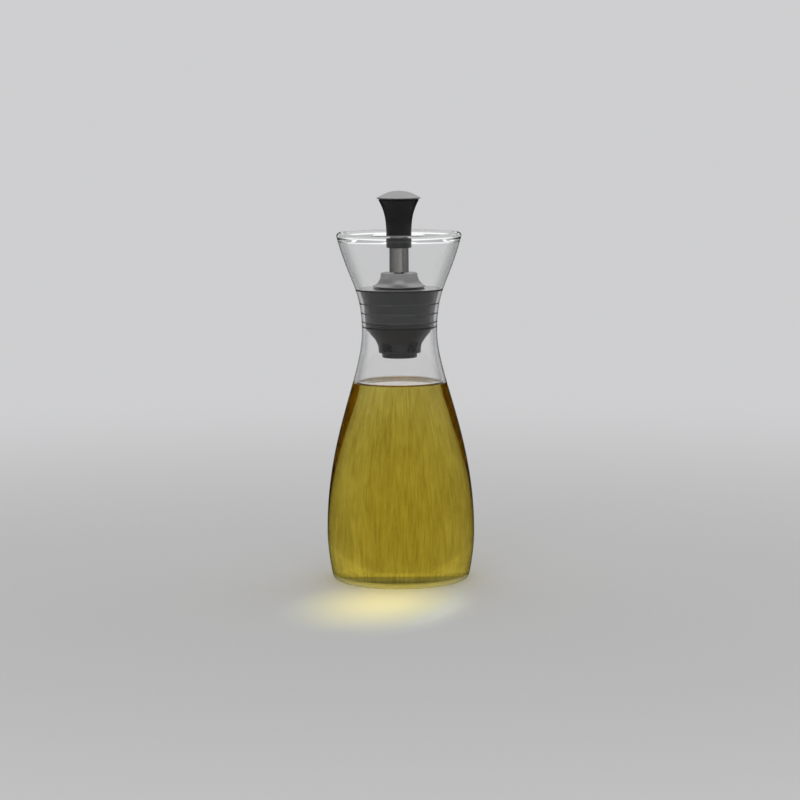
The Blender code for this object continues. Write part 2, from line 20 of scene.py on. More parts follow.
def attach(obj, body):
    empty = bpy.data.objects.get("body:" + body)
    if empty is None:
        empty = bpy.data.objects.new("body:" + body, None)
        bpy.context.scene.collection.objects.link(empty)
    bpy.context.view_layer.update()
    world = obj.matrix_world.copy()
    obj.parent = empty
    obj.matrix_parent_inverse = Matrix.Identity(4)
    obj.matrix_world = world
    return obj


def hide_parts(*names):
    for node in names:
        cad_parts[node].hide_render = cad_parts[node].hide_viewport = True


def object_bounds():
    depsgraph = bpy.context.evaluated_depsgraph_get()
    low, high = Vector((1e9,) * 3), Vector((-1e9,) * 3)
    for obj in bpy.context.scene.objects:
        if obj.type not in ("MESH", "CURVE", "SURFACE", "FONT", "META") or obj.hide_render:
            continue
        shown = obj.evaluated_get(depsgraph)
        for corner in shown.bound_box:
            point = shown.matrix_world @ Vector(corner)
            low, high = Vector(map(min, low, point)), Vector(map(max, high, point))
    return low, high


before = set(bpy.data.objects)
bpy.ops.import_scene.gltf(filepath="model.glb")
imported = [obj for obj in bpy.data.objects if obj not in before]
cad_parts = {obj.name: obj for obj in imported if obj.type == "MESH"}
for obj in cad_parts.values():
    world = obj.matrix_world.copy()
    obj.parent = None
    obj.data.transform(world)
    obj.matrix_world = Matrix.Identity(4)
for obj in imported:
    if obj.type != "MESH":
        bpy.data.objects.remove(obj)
cad_box = [list(corner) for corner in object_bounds()]
size_mm = [round(1000 * (high - low), 1) for low, high in zip(*cad_box)]
print("the solids measure", size_mm, "mm")

# %% [markdown]
# ## The camera
#
# The camera was fitted to the photograph. It stands 1.31 m in front of the bottle, looks down
# by 7 degrees through a long lens, and leans a little to one side. Other views move this same
# camera round the object, so it has no shift and no depth of field.

# %% Place the camera
CAMERA_PLACE = (0.0, -1.310, 0.2539)
CAMERA_TILT = math.radians(82.98)
CAMERA_LEAN = math.radians(-0.4)
LENS = 115.2

scene = bpy.context.scene
camera = bpy.data.objects.new("camera", bpy.data.cameras.new("camera"))
camera.data.lens = LENS
camera.data.sensor_width = 36.0
camera.data.clip_start = 0.01
camera.matrix_world = (
    Matrix.Translation(CAMERA_PLACE)
    @ Matrix.Rotation(CAMERA_TILT, 4, "X")
    @ Matrix.Rotation(CAMERA_LEAN, 4, "Z")
)
scene.collection.objects.link(camera)
scene.camera = camera
print("the camera stands", round(Vector(CAMERA_PLACE).length, 3), "m from the bottle's foot")

# %% [markdown]
# ## Building node trees
#
# Materials and Geometry Nodes are both node trees, so one small helper serves both: it adds a
# node, sets its options, and sets or links its inputs. Others write sums, ranges and mixed
# colours, and start and end a finish.

# %% Helpers for node trees
def add(tree, kind, inputs=None, **options):
    """Adds a node. An input that is given a socket is linked, any other value is set."""
    made = tree.nodes.new(kind)
    for option, value in options.items():
        setattr(made, option, value)
    for name, value in (inputs or {}).items():
        if isinstance(value, bpy.types.NodeSocket):
            tree.links.new(value, made.inputs[name])
        else:
            made.inputs[name].default_value = value
    return made


def calc(tree, operation, *values):
    """The result of one sum, from numbers or sockets."""
    return add(tree, "ShaderNodeMath", dict(enumerate(values)), operation=operation).outputs[0]


def graded(tree, value, start, end, low=0.0, high=1.0):
    """A value's range from start to end, made into the range from low to high."""
    inputs = {"Value": value, "From Min": start, "From Max": end, "To Min": low, "To Max": high}
    return add(tree, "ShaderNodeMapRange", inputs).outputs["Result"]


def blended(tree, factor, first, second):
    """A colour between two colours."""
    mix = add(tree, "ShaderNodeMix", {0: factor}, data_type="RGBA")
    for socket, colour in ((6, first), (7, second)):
        if isinstance(colour, bpy.types.NodeSocket):
            tree.links.new(colour, mix.inputs[socket])
        else:
            mix.inputs[socket].default_value = (*colour, 1.0)
    return mix.outputs[2]


print("nodes can be added, linked and summed")

# %% Helpers for finishes and meshes
def new_look(name):
    look = bpy.data.materials.new(name)
    look.use_nodes = True
    look.node_tree.nodes.clear()
    return look, look.node_tree


def close_look(tree, shader, volume=None):
    ends = {"Surface": shader}
    if volume is not None:
        ends["Volume"] = volume
    add(tree, "ShaderNodeOutputMaterial", ends)


def principled(tree, inputs):
    return add(tree, "ShaderNodeBsdfPrincipled", inputs).outputs[0]


def mesh_from(name, body):
    """Takes the mesh out of an editing session and ends that session."""
    mesh = bpy.data.meshes.new(name)
    body.to_mesh(mesh)
    body.free()
    return mesh


print("a finish and a mesh can be started and ended")

# %% [markdown]
# ## The studio
#
# Glass has no colour of its own and shows what stands round it. The world is a pale backdrop
# wherever the camera looks, also in reflections and through glass, and a weaker even light for
# everything else. It is paler near the horizon than overhead, which gives the steel something to
# reflect, and it looks the same from every side.

# %% Light the world
BACKDROP = (0.62, 0.62, 0.63)
OVERHEAD = (0.14, 0.14, 0.15)
FILL_LIGHT = 0.35
SKY_START, SKY_END = 0.15, 0.85


def world_light():
    world = bpy.data.worlds.new("studio")
    world.use_nodes = True
    tree = world.node_tree
    tree.nodes.clear()
    path = add(tree, "ShaderNodeLightPath").outputs
    seen = calc(tree, "MAXIMUM", path["Is Camera Ray"], path["Is Glossy Ray"])
    seen = calc(tree, "MAXIMUM", seen, path["Is Transmission Ray"])
    direction = add(tree, "ShaderNodeTexCoord").outputs["Generated"]
    height = add(tree, "ShaderNodeSeparateXYZ", {"Vector": direction}).outputs["Z"]
    sky = blended(tree, graded(tree, height, SKY_START, SKY_END), BACKDROP, OVERHEAD)
    fill = (FILL_LIGHT, FILL_LIGHT, FILL_LIGHT)
    light = add(tree, "ShaderNodeBackground", {"Color": blended(tree, seen, fill, sky)})
    add(tree, "ShaderNodeOutputWorld", {"Surface": light.outputs[0]})
    return world


scene.world = world_light()
scene.view_settings.view_transform = "Standard"
print("the backdrop is", BACKDROP, "and the fill light is", FILL_LIGHT)

# %% [markdown]
# The lamps are soft boxes. The strongest hangs above and behind the bottle, as in the
# photograph, so that the top faces are bright and the shadow falls towards the camera. A low
# one behind is mirrored in the flat tops and the oil's surface. A smaller one over the front
# gives the steel dome a highlight in views from behind, and the last one only fills.

# %% Hang the soft boxes
LOOK_AT = Vector((0.0, 0.0, 0.11))
MIRRORED = ("glossy", "transmission")


def hang(name, lamp, place, target, power, unseen):
    """Hangs a lamp, turns it towards a point, and hides it from some kinds of rays."""
    lamp.energy = power
    holder = bpy.data.objects.new(name, lamp)
    holder.location = place
    holder.rotation_euler = (Vector(target) - Vector(place)).to_track_quat("-Z", "Y").to_euler()
    for kind in ("camera", *unseen):
        setattr(holder, "visible_" + kind, False)
    scene.collection.objects.link(holder)


def softbox(name, place, size, power, unseen=()):
    """Hangs a rectangular lamp of a width and a height in metres."""
    lamp = bpy.data.lights.new(name, "AREA")
    lamp.shape = "RECTANGLE"
    lamp.size, lamp.size_y = size
    hang(name, lamp, place, LOOK_AT, power, unseen)


softbox("lamp_above", (0.10, 0.60, 1.00), size=(1.70, 1.20), power=6.0)
softbox("lamp_top", (0.0, -0.45, 1.10), size=(0.90, 0.90), power=2.2)
softbox("lamp_behind", (0.0, 1.75, 0.42), size=(1.40, 0.50), power=1.1)
softbox("lamp_front", (-0.35, -1.15, 0.75), size=(0.60, 0.60), power=1.4, unseen=MIRRORED)
print("four soft boxes are aimed at the bottle")

# %% [markdown]
# A round bottle of oil also gathers light and throws it on the table. A path tracer finds such
# light only by luck, so a narrow beam from behind stands in for it: it shines through the oil,
# which colours it, and is no wider than the bottle.

# %% Add the beam
BEAM_PLACE, BEAM_TARGET = (0.11, 0.50, 0.50), (-0.010, -0.070, 0.0)
BEAM_COLOUR, BEAM_POWER = (0.92, 1.0, 0.62), 45.0
BEAM_WIDTH, BEAM_FADE = math.radians(5.2), 0.9
BEAM_LAMP_RADIUS = 0.02

beam = bpy.data.lights.new("beam", "SPOT")
beam.spot_size = BEAM_WIDTH
beam.spot_blend = BEAM_FADE
beam.shadow_soft_size = BEAM_LAMP_RADIUS
beam.color = BEAM_COLOUR
hang("beam", beam, BEAM_PLACE, BEAM_TARGET, BEAM_POWER, MIRRORED)
print("a beam", round(math.degrees(BEAM_WIDTH), 1), "degrees wide shines through the oil")

# %% [markdown]
# Glass mirrors what stands round it, and in a pale room that lays a haze over everything behind
# it. Photographers keep it away with black card. Here one card lies round the bottle's foot and
# is bent up round it, with a gap behind, and is seen by mirrored rays alone. A ray that has come
# through glass counts as a mirrored ray too, so the card's own finish lets those pass.

# %% Stand up the dark card
CARD_FOOT = 0.036
CARD_DISTANCE = 0.13
CARD_HEIGHT = 0.20
CARD_HALF_GAP = 12.0
CARD_PANELS = 64
CARD_COLOUR = (0.02, 0.02, 0.02, 1.0)


def card_finish():
    look, tree = new_look("black_card")
    through = add(tree, "ShaderNodeLightPath").outputs["Is Transmission Ray"]
    dull = add(tree, "ShaderNodeBsdfDiffuse", {"Color": CARD_COLOUR}).outputs[0]
    clear = add(tree, "ShaderNodeBsdfTransparent").outputs[0]
    both = add(tree, "ShaderNodeMixShader", {0: through, 1: dull, 2: clear})
    close_look(tree, both.outputs[0])
    return look


def dark_card():
    """A card on the floor, bent round the object from one side of the gap to the other."""
    body = bmesh.new()
    posts = []
    for i in range(CARD_PANELS + 1):
        turn = math.radians(CARD_HALF_GAP + (360 - 2 * CARD_HALF_GAP) * i / CARD_PANELS)
        way = Vector((math.sin(turn), math.cos(turn), 0.0))
        bend = way * CARD_DISTANCE
        places = (way * CARD_FOOT, bend, bend + Vector((0, 0, CARD_HEIGHT)))
        posts.append([body.verts.new(place) for place in places])
    for post, after in zip(posts, posts[1:]):
        for k in (0, 1):
            body.faces.new((post[k], after[k], after[k + 1], post[k + 1]))
    mesh = mesh_from("dark_card", body)
    mesh.materials.append(card_finish())
    card = bpy.data.objects.new("dark_card", mesh)
    for kind in ("camera", "diffuse", "transmission", "volume_scatter", "shadow"):
        setattr(card, "visible_" + kind, False)
    scene.collection.objects.link(card)


dark_card()
print("a dark card stands", CARD_DISTANCE, "m from the bottle's axis")

# %% [markdown]
# The floor is a plain pale sheet. Near the bottle it is lit and takes a shadow. Further out it
# fades into the backdrop's own colour, so there is no line where the two meet.

# %% Lay the floor
FLOOR_COLOUR = (0.64, 0.64, 0.645)
FLOOR_REACH = 6.0
FLOOR_DROP = 0.0002
FADE_START, FADE_END = 0.12, 0.80
FLECK_SCALE, FLECK_DARKNESS = 900.0, 0.965


def floor_finish():
    look, tree = new_look("pale_floor")
    place = add(tree, "ShaderNodeTexCoord").outputs["Object"]
    far = add(tree, "ShaderNodeVectorMath", {0: place}, operation="LENGTH").outputs["Value"]
    span = {"Value": far, "From Min": FADE_START, "From Max": FADE_END}
    fade = add(tree, "ShaderNodeMapRange", span, interpolation_type="SMOOTHSTEP").outputs["Result"]
    fleck = add(tree, "ShaderNodeTexNoise", {"Vector": place, "Scale": FLECK_SCALE, "Detail": 4.0})
    flecks = graded(tree, fleck.outputs[0], 0.3, 0.7)
    darker = tuple(FLECK_DARKNESS * c for c in FLOOR_COLOUR)
    colour = blended(tree, flecks, darker, FLOOR_COLOUR)
    near = principled(tree, {"Base Color": colour, "Roughness": 0.75, "Specular IOR Level": 0.0})
    distant = add(tree, "ShaderNodeEmission", {"Color": (*BACKDROP, 1.0)})
    both = add(tree, "ShaderNodeMixShader", {0: fade, 1: near, 2: distant.outputs[0]})
    close_look(tree, both.outputs[0])
    return look


sheet = bmesh.new()
bmesh.ops.create_circle(sheet, cap_ends=True, segments=64, radius=FLOOR_REACH)
bmesh.ops.translate(sheet, verts=sheet.verts[:], vec=(0.0, 0.0, -FLOOR_DROP))
floor_mesh = mesh_from("floor", sheet)
floor_mesh.materials.append(floor_finish())
floor = bpy.data.objects.new("floor", floor_mesh)
scene.collection.objects.link(floor)
print("the floor fades out between", FADE_START, "and", FADE_END, "m")

# %% [markdown]
# ## Outlines
#
# Every turned piece starts as an outline: points of radius and height, in millimetres, that a
# maker would draw on half a section. Long hollow shapes are cubic curves, rounded edges are
# arcs, and a wall is the same line moved sideways by the wall's thickness.

# %% Helpers for outlines
def curve(start, start_hold, end_hold, end, count):
    """Points of a cubic curve, both ends included."""
    points = []
    for i in range(count):
        t = i / (count - 1)
        s = 1 - t
        weights = (s * s * s, 3 * s * s * t, 3 * s * t * t, t * t * t)
        corners = (start, start_hold, end_hold, end)
        points.append(tuple(sum(w * p[k] for w, p in zip(weights, corners)) for k in (0, 1)))
    return points


def arc(centre, radius, first, last, count):
    """Points of an arc between two angles in degrees."""
    points = []
    for i in range(count):
        a = math.radians(first + (last - first) * i / (count - 1))
        points.append((centre[0] + radius * math.cos(a), centre[1] + radius * math.sin(a)))
    return points


def offset_left(points, distance):
    """The same line, moved to the left of its own direction."""
    moved = []
    for i, (r, z) in enumerate(points):
        before = points[max(i - 1, 0)]
        after = points[min(i + 1, len(points) - 1)]
        dr, dz = after[0] - before[0], after[1] - before[1]
        length = math.hypot(dr, dz)
        moved.append((r - distance * dz / length, z + distance * dr / length))
    return moved


def radius_at(points, height):
    """Radius of a line of points at a height, read between its points."""
    rising = sorted(points, key=lambda p: p[1])
    for (r0, z0), (r1, z1) in zip(rising, rising[1:]):
        if z0 <= height <= z1 and z1 > z0:
            return r0 + (r1 - r0) * (height - z0) / (z1 - z0)
    return rising[0][0] if height < rising[0][1] else rising[-1][0]


print("a test curve has", len(curve((0, 0), (1, 0), (1, 1), (2, 1), 9)), "points")

# %% [markdown]
# Real edges are never quite sharp, and it is the small rounding that catches the light. A Bevel
# modifier could add it later, but then every edge needs a mark to have its own width. In the
# outline it takes one number: this helper replaces each sharp corner with a short quadratic
# curve. On a long flat it also adds a point just outside the rounding, so that smooth shading
# stays flat there.

# %% Round the corners of an outline
ROUNDING_POINTS = 5
SHARP_TURN = math.radians(18)
EDGE_SHARE = 0.45
LONG_EDGE, SUPPORT_STEP = 4, 0.3


def softened(corners, reach, closed=False):
    """The outline with its corners rounded. A corner's third number is its own reach."""
    points = [Vector(c[:2]) for c in corners]
    reaches = [c[2] if len(c) > 2 else reach for c in corners]
    count = len(points)
    made = []
    for i, here in enumerate(points):
        if not closed and i in (0, count - 1):
            made.append(here)
            continue
        back, ahead = points[i - 1] - here, points[(i + 1) % count] - here
        turn = math.pi - back.angle(ahead)
        if turn < SHARP_TURN or not reaches[i]:
            made.append(here)
            continue
        cut_back = min(reaches[i], EDGE_SHARE * back.length)
        cut_ahead = min(reaches[i], EDGE_SHARE * ahead.length)
        start, end = here + back.normalized() * cut_back, here + ahead.normalized() * cut_ahead
        if back.length > LONG_EDGE * cut_back:
            made.append(start + back.normalized() * SUPPORT_STEP * cut_back)
        for k in range(ROUNDING_POINTS + 1):
            t = k / ROUNDING_POINTS
            made.append(start * (1 - t) ** 2 + here * 2 * t * (1 - t) + end * t * t)
        if ahead.length > LONG_EDGE * cut_ahead:
            made.append(end + ahead.normalized() * SUPPORT_STEP * cut_ahead)
    if closed:
        made.append(made[0])
    return [tuple(p) for p in made]


def tube(outside, bore, foot, top, reach):
    """The section of a plain tube with rounded edges."""
    corners = [(outside, top), (outside, foot), (bore, foot), (bore, top)]
    return softened(corners, reach, closed=True)


square = tube(2, 1, 0, 1, 0.1)
print("a rounded square has", len(square), "points")

# %% [markdown]
# ## The lathe
#
# The Spin tool or a Screw modifier would turn an outline as well. But a lathe follows a rule, and
# Geometry Nodes can state that rule once for every piece. The tree lays out a grid with one
# column for each step of the turn and one row for each point of the outline, reads the outline's
# point for each row, and bends the grid round the axis. Merging by distance closes the seam
# and the poles. The same tree turns the bottle, the oil, the bung, the dome and all the rest.

# %% Start and end a tree
def new_tree(name, inputs):
    """An empty Geometry Nodes tree that takes and gives geometry, with named inputs."""
    tree = bpy.data.node_groups.new(name, "GeometryNodeTree")
    tree.interface.new_socket("Geometry", in_out="INPUT", socket_type="NodeSocketGeometry")
    for label, kind in inputs:
        tree.interface.new_socket(label, in_out="INPUT", socket_type="NodeSocket" + kind)
    tree.interface.new_socket("Geometry", in_out="OUTPUT", socket_type="NodeSocketGeometry")
    return tree, add(tree, "NodeGroupInput").outputs


def end_tree(tree, geometry, look):
    """Ends a tree with real geometry and its finish."""
    real = add(tree, "GeometryNodeRealizeInstances", {"Geometry": geometry}).outputs[0]
    painted = add(tree, "GeometryNodeSetMaterial", {"Geometry": real, "Material": look}).outputs[0]
    add(tree, "NodeGroupOutput", {"Geometry": painted})


print("a Geometry Nodes tree can be started and ended")

# %% Build the lathe tree
WELD = 1e-6


def lathe_tree():
    tree, given = new_tree("lathe", (("Steps", "Int"), ("Finish", "Material")))
    outline, steps = given["Geometry"], given["Steps"]
    size = add(tree, "GeometryNodeAttributeDomainSize", {"Geometry": outline})
    rows = size.outputs["Point Count"]
    columns = calc(tree, "ADD", steps, 1)
    grid = add(tree, "GeometryNodeMeshGrid", {"Vertices X": columns, "Vertices Y": rows})
    index = add(tree, "GeometryNodeInputIndex").outputs[0]
    column = calc(tree, "FLOOR", calc(tree, "DIVIDE", calc(tree, "ADD", index, 0.5), rows))
    row = calc(tree, "SUBTRACT", index, calc(tree, "MULTIPLY", column, rows))
    source = {"Geometry": outline, "Index": calc(tree, "ROUND", row)}
    sample = add(tree, "GeometryNodeSampleIndex", source, data_type="FLOAT_VECTOR")
    tree.links.new(add(tree, "GeometryNodeInputPosition").outputs[0], sample.inputs["Value"])
    point = add(tree, "ShaderNodeSeparateXYZ", {"Vector": sample.outputs[0]}).outputs
    angle = calc(tree, "DIVIDE", calc(tree, "MULTIPLY", column, math.tau), steps)
    across = calc(tree, "MULTIPLY", point["X"], calc(tree, "COSINE", angle))
    along = calc(tree, "MULTIPLY", point["X"], calc(tree, "SINE", angle))
    place = add(tree, "ShaderNodeCombineXYZ", {"X": across, "Y": along, "Z": point["Z"]})
    places = {"Geometry": grid.outputs["Mesh"], "Position": place.outputs[0]}
    bent = add(tree, "GeometryNodeSetPosition", places)
    joint = {"Geometry": bent.outputs[0], "Distance": WELD}
    welded = add(tree, "GeometryNodeMergeByDistance", joint)
    smooth = add(tree, "GeometryNodeSetShadeSmooth", {"Geometry": welded.outputs[0]})
    end_tree(tree, smooth.outputs[0], given["Finish"])
    return tree


LATHE = lathe_tree()
print("the lathe has", len(LATHE.nodes), "nodes")

# %% [markdown]
# A modifier runs a tree on an object. Its inputs are set by each socket's identifier, before
# anything is evaluated. The result is then taken as a plain mesh and the modifier goes away,
# so a finished piece carries no live nodes. Last, normals are made to point outwards.

# %% Run a tree and keep its mesh
def grown(name, mesh, tree, settings):
    """The plain mesh that a tree makes of another mesh, as a new object."""
    holder = bpy.data.objects.new(name, mesh)
    scene.collection.objects.link(holder)
    modifier = holder.modifiers.new("maker", "NODES")
    modifier.node_group = tree
    for item in tree.interface.items_tree:
        if item.in_out == "INPUT" and item.name in settings:
            modifier[item.identifier] = settings[item.name]
    return settled(holder)


def settled(holder):
    """Turns what the modifiers make into the object's own mesh and takes them off."""
    bpy.context.view_layer.update()
    graph = bpy.context.evaluated_depsgraph_get()
    result = bpy.data.meshes.new_from_object(holder.evaluated_get(graph))
    holder.modifiers.clear()
    holder.data = result
    result.name = holder.name
    return holder


print("a tree's result can be kept as a plain mesh")

# %% Turn a piece and put it in the frame
SLIVER = 1e-7
SHARP_EDGE = math.radians(42)


def faced_outwards(holder):
    """Closes the mesh, turns its faces outwards and keeps only real edges sharp."""
    body = bmesh.new()
    body.from_mesh(holder.data)
    bmesh.ops.remove_doubles(body, verts=body.verts[:], dist=WELD)
    bmesh.ops.dissolve_degenerate(body, dist=SLIVER, edges=body.edges[:])
    bmesh.ops.recalc_face_normals(body, faces=body.faces[:])
    body.to_mesh(holder.data)
    body.free()
    holder.data.shade_smooth()
    holder.data.set_sharp_from_angle(angle=SHARP_EDGE)
    return holder


def turned(name, outline, look, steps):
    """A turned piece from an outline in millimetres."""
    mesh = bpy.data.meshes.new(name)
    points = [(r / 1000, 0, z / 1000) for r, z in outline]
    mesh.from_pydata(points, [(i, i + 1) for i in range(len(points) - 1)], [])
    return faced_outwards(grown(name, mesh, LATHE, {"Steps": steps, "Finish": look}))


def fitted(piece, body, slot, *nodes):
    """Puts a finished piece in the frame: what it rides on and what it stands for. Its slot is not
    used.
    """
    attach(piece, body)
    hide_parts(*nodes)
    print(piece.name, "has", len(piece.data.polygons), "faces and stands for", *nodes)


print("a finished piece is placed by its mesh, with its object at the origin")

# %% [markdown]
# ## Finishes
#
# Every finish here starts from the round coordinates of a point: the direction it lies in
# from the axis, its radius and its height. A pattern that changes with direction but hardly with
# height gives lines along a drawn tube. One that changes with radius and height but hardly
# with direction gives the rings that brushing leaves on a dome.

# %% Coordinates and grain
def round_place(tree):
    """Sockets for a point's direction from the axis, its radius, its height and its place."""
    place = add(tree, "ShaderNodeTexCoord").outputs["Object"]
    part = add(tree, "ShaderNodeSeparateXYZ", {"Vector": place}).outputs
    level = add(tree, "ShaderNodeCombineXYZ", {"X": part["X"], "Y": part["Y"]}).outputs[0]
    radius = add(tree, "ShaderNodeVectorMath", {0: level}, operation="LENGTH").outputs["Value"]
    way = add(tree, "ShaderNodeVectorMath", {0: level}, operation="NORMALIZE").outputs[0]
    return add(tree, "ShaderNodeSeparateXYZ", {"Vector": way}).outputs, radius, part["Z"], place


def noise(tree, vector, scale=1.0, detail=2.0, roughness=0.5):
    """A noise value, mostly between 0.3 and 0.7."""
    inputs = {"Vector": vector, "Scale": scale, "Detail": detail, "Roughness": roughness}
    return add(tree, "ShaderNodeTexNoise", inputs).outputs[0]


def stretched_noise(tree, parts, detail=3.0):
    """Noise over three measures of a point, each with its own scale."""
    axes = {axis: calc(tree, "MULTIPLY", part, scale) for axis, (part, scale) in zip("XYZ", parts)}
    return noise(tree, add(tree, "ShaderNodeCombineXYZ", axes).outputs[0], detail=detail)


def drawn_lines(tree, lines, per_metre, detail=3.0):
    """Noise in long lines beside the axis: fine round it, slow along it."""
    way, _, height, _ = round_place(tree)
    parts = ((way["X"], lines), (way["Y"], lines), (height, per_metre))
    return stretched_noise(tree, parts, detail)


def ring_lines(tree, per_metre, round_share):
    """Noise in rings about the axis, broken up a little on their way round."""
    way, radius, height, _ = round_place(tree)
    turn = calc(tree, "ADD", way["X"], way["Y"])
    parts = ((radius, per_metre), (height, per_metre), (turn, round_share))
    return stretched_noise(tree, parts)


def mixed(tree, first, second, share):
    """A share of one value and the rest of another."""
    parts = (calc(tree, "MULTIPLY", first, share), calc(tree, "MULTIPLY", second, 1 - share))
    return calc(tree, "ADD", *parts)


def raised(tree, height, distance):
    """A normal from a height, with the bump's depth in metres."""
    inputs = {"Height": height, "Distance": distance, "Strength": 1.0}
    return add(tree, "ShaderNodeBump", inputs).outputs[0]


print("patterns follow the axis or go round it")

# %% [markdown]
# ### Glass and oil
#
# Both are closed bodies, so light bends as it enters and as it leaves. What colours them is their
# depth: a plain absorption takes a little light away for every millimetre, which makes the glass
# darker at its edges and the oil deeper where the bottle is wide. The glass also carries painted
# shade: its colour is darker where it is seen edge on, which draws dark outlines.
#
# Oil bends light almost as much as glass does, so where the oil wets the glass the light goes
# straight on and no edge shows. The renderer only knows bodies that stand in air. The faces where
# the two touch are therefore marked as wet, and a wet face bends nothing.
#
# The glass under the bottle is rough from its mould and from use. Light that runs down the wall
# is scattered there and comes back up amber, instead of being caught for good.
#
# A lamp can't be aimed through a body that bends light, so the pieces behind the glass would be
# lit only by chance. For rays from lamps and for scattered light the surface is therefore clear.
# The absorption still acts on those rays, and it tints the shadow.

# %% Helpers for clear finishes
ABSORPTION_ROOM = 1.05
BENDING = 1.48


def clear_body(tree, shader, passing):
    """Lets rays from lamps and scattered light straight through."""
    path = add(tree, "ShaderNodeLightPath").outputs
    easy = calc(tree, "MAXIMUM", path["Is Shadow Ray"], path["Is Diffuse Ray"])
    straight = add(tree, "ShaderNodeBsdfTransparent", {"Color": (*passing, 1.0)})
    return add(tree, "ShaderNodeMixShader", {0: easy, 1: shader, 2: straight.outputs[0]}).outputs[0]


def depth_colour(tree, absorbed):
    """An absorption with its own rate for red, green and blue, each for one metre."""
    density = max(absorbed) * ABSORPTION_ROOM
    colour = (*[1 - a / density for a in absorbed], 1.0)
    inputs = {"Color": colour, "Density": density}
    return add(tree, "ShaderNodeVolumeAbsorption", inputs).outputs[0]


def marked(tree, mark, elsewhere=0.0, there=1.0):
    """One value on the faces that carry a mark and another elsewhere."""
    share = add(tree, "ShaderNodeAttribute", attribute_name=mark).outputs["Fac"]
    return graded(tree, share, 0.0, 1.0, elsewhere, there)


def bends(tree):
    """The refraction of a face: none where it is wet."""
    return marked(tree, "wet", BENDING, 1.0)


def edge_on(tree, start, end):
    """0 where a surface faces the viewer, rising to 1 where it is seen edge on."""
    facing = add(tree, "ShaderNodeLayerWeight", {"Blend": 0.5}).outputs["Facing"]
    return graded(tree, facing, start, end)


print("glass and oil both bend light by", BENDING)

# %% Finish for the glass
GLASS_ABSORBED = (6.0, 5.2, 6.2)
# Painted shade: the glass's colour where it is seen edge on, which draws dark outlines.
GLASS_PAINTED_EDGE_SHADE = (0.16, 0.17, 0.17)
GLASS_PASSES = (0.95, 0.955, 0.95)
WAVE_DEPTH = 0.00008
MOULD_ROUGHNESS = 0.9
ROUGH_BELOW, CLEAR_ABOVE = 0.0018, 0.0040


def glass_finish():
    look, tree = new_look("clear_glass")
    height = round_place(tree)[2]
    waves = drawn_lines(tree, lines=5.0, per_metre=45.0, detail=1.0)
    inputs = {
        # Painted shade: the colour darkens where the glass is seen edge on.
        "Base Color": blended(tree, edge_on(tree, 0.45, 1.0), (1, 1, 1), GLASS_PAINTED_EDGE_SHADE),
        "Roughness": graded(tree, height, ROUGH_BELOW, CLEAR_ABOVE, MOULD_ROUGHNESS, 0.0),
        "IOR": bends(tree),
        "Transmission Weight": 1.0,
        "Normal": raised(tree, waves, WAVE_DEPTH),
    }
    shader = clear_body(tree, principled(tree, inputs), GLASS_PASSES)
    close_look(tree, shader, depth_colour(tree, GLASS_ABSORBED))
    return look


GLASS = glass_finish()
print("glass absorbs", GLASS_ABSORBED, "per metre")

# %% Finish for the oil
OIL_ABSORBED = (3.6, 7.4, 42.0)
OIL_STREAK, STREAK_SHARE = (0.60, 0.55, 0.38), 0.6
OIL_PASSES = (1.0, 1.0, 1.0)


def oil_finish():
    look, tree = new_look("olive_oil")
    streaks = drawn_lines(tree, lines=54.0, per_metre=80.0)
    clouds = drawn_lines(tree, lines=4.0, per_metre=30.0)
    level = graded(tree, mixed(tree, streaks, clouds, STREAK_SHARE), 0.38, 0.62)
    colour = blended(tree, level, OIL_STREAK, (1, 1, 1))
    inputs = {
        "Base Color": blended(tree, edge_on(tree, 0.45, 0.80), colour, (1, 1, 1)),
        "Roughness": 0.0,
        "IOR": bends(tree),
        "Transmission Weight": 1.0,
    }
    shader = clear_body(tree, principled(tree, inputs), OIL_PASSES)
    close_look(tree, shader, depth_colour(tree, OIL_ABSORBED))
    return look


OIL = oil_finish()
print("oil absorbs", OIL_ABSORBED, "per metre")

# %% [markdown]
# ### Silicone, plastic and metal
#
# The bung is matt silicone with a fine powdery grain. Its top is smoother, and it is painted
# paler as a painted highlight of the light from above. The crests of its ribs are painted paler as
# painted highlights too. The core and the grip are black mouldings, the grip with faint dust. The
# dome and the valve cap are satin steel with rings from brushing and painted shade where they are
# seen edge on. The stem is bright steel with fine lines along it, broad painted reflections
# and painted shade at its edges.
#
# Pictures of such surfaces could be wrapped round the pieces. Noise is used instead, because it
# follows the axis without a seam and stays fine from close by. One function makes all the dull
# finishes and another all the metals, since they differ only in colour, gloss and grain.

# %% Helpers for dull finishes
# Painted highlight: the colours the bung's top is painted in, paler than the rest, for the light
# from above.
TOP_HIGHLIGHT_DARK, TOP_HIGHLIGHT_LIGHT = (0.14, 0.135, 0.14), (0.20, 0.19, 0.20)
# Painted highlight: the paler colour of the rib crests.
CREST_PAINTED_HIGHLIGHT = (0.085, 0.085, 0.09)
TOP_SMOOTHING = 0.5
MOTTLE_SCALE = 140.0
SPECK_SCALE, DUSTY_SCALE = 1100.0, 260.0
DUST_COLOUR = (0.45, 0.44, 0.42)
GLOSS_SPREAD = 0.05
POWDER_SPREAD = 0.22


def dusted(tree, place, colour, dust):
    """A colour with small pale specks in some patches."""
    specks = add(tree, "ShaderNodeTexVoronoi", {"Vector": place, "Scale": SPECK_SCALE}).outputs[0]
    speck = graded(tree, specks, 0.10, 0.16, dust, 0.0)
    patches = graded(tree, noise(tree, place, DUSTY_SCALE), 0.52, 0.62)
    return blended(tree, calc(tree, "MULTIPLY", speck, patches), colour, DUST_COLOUR)


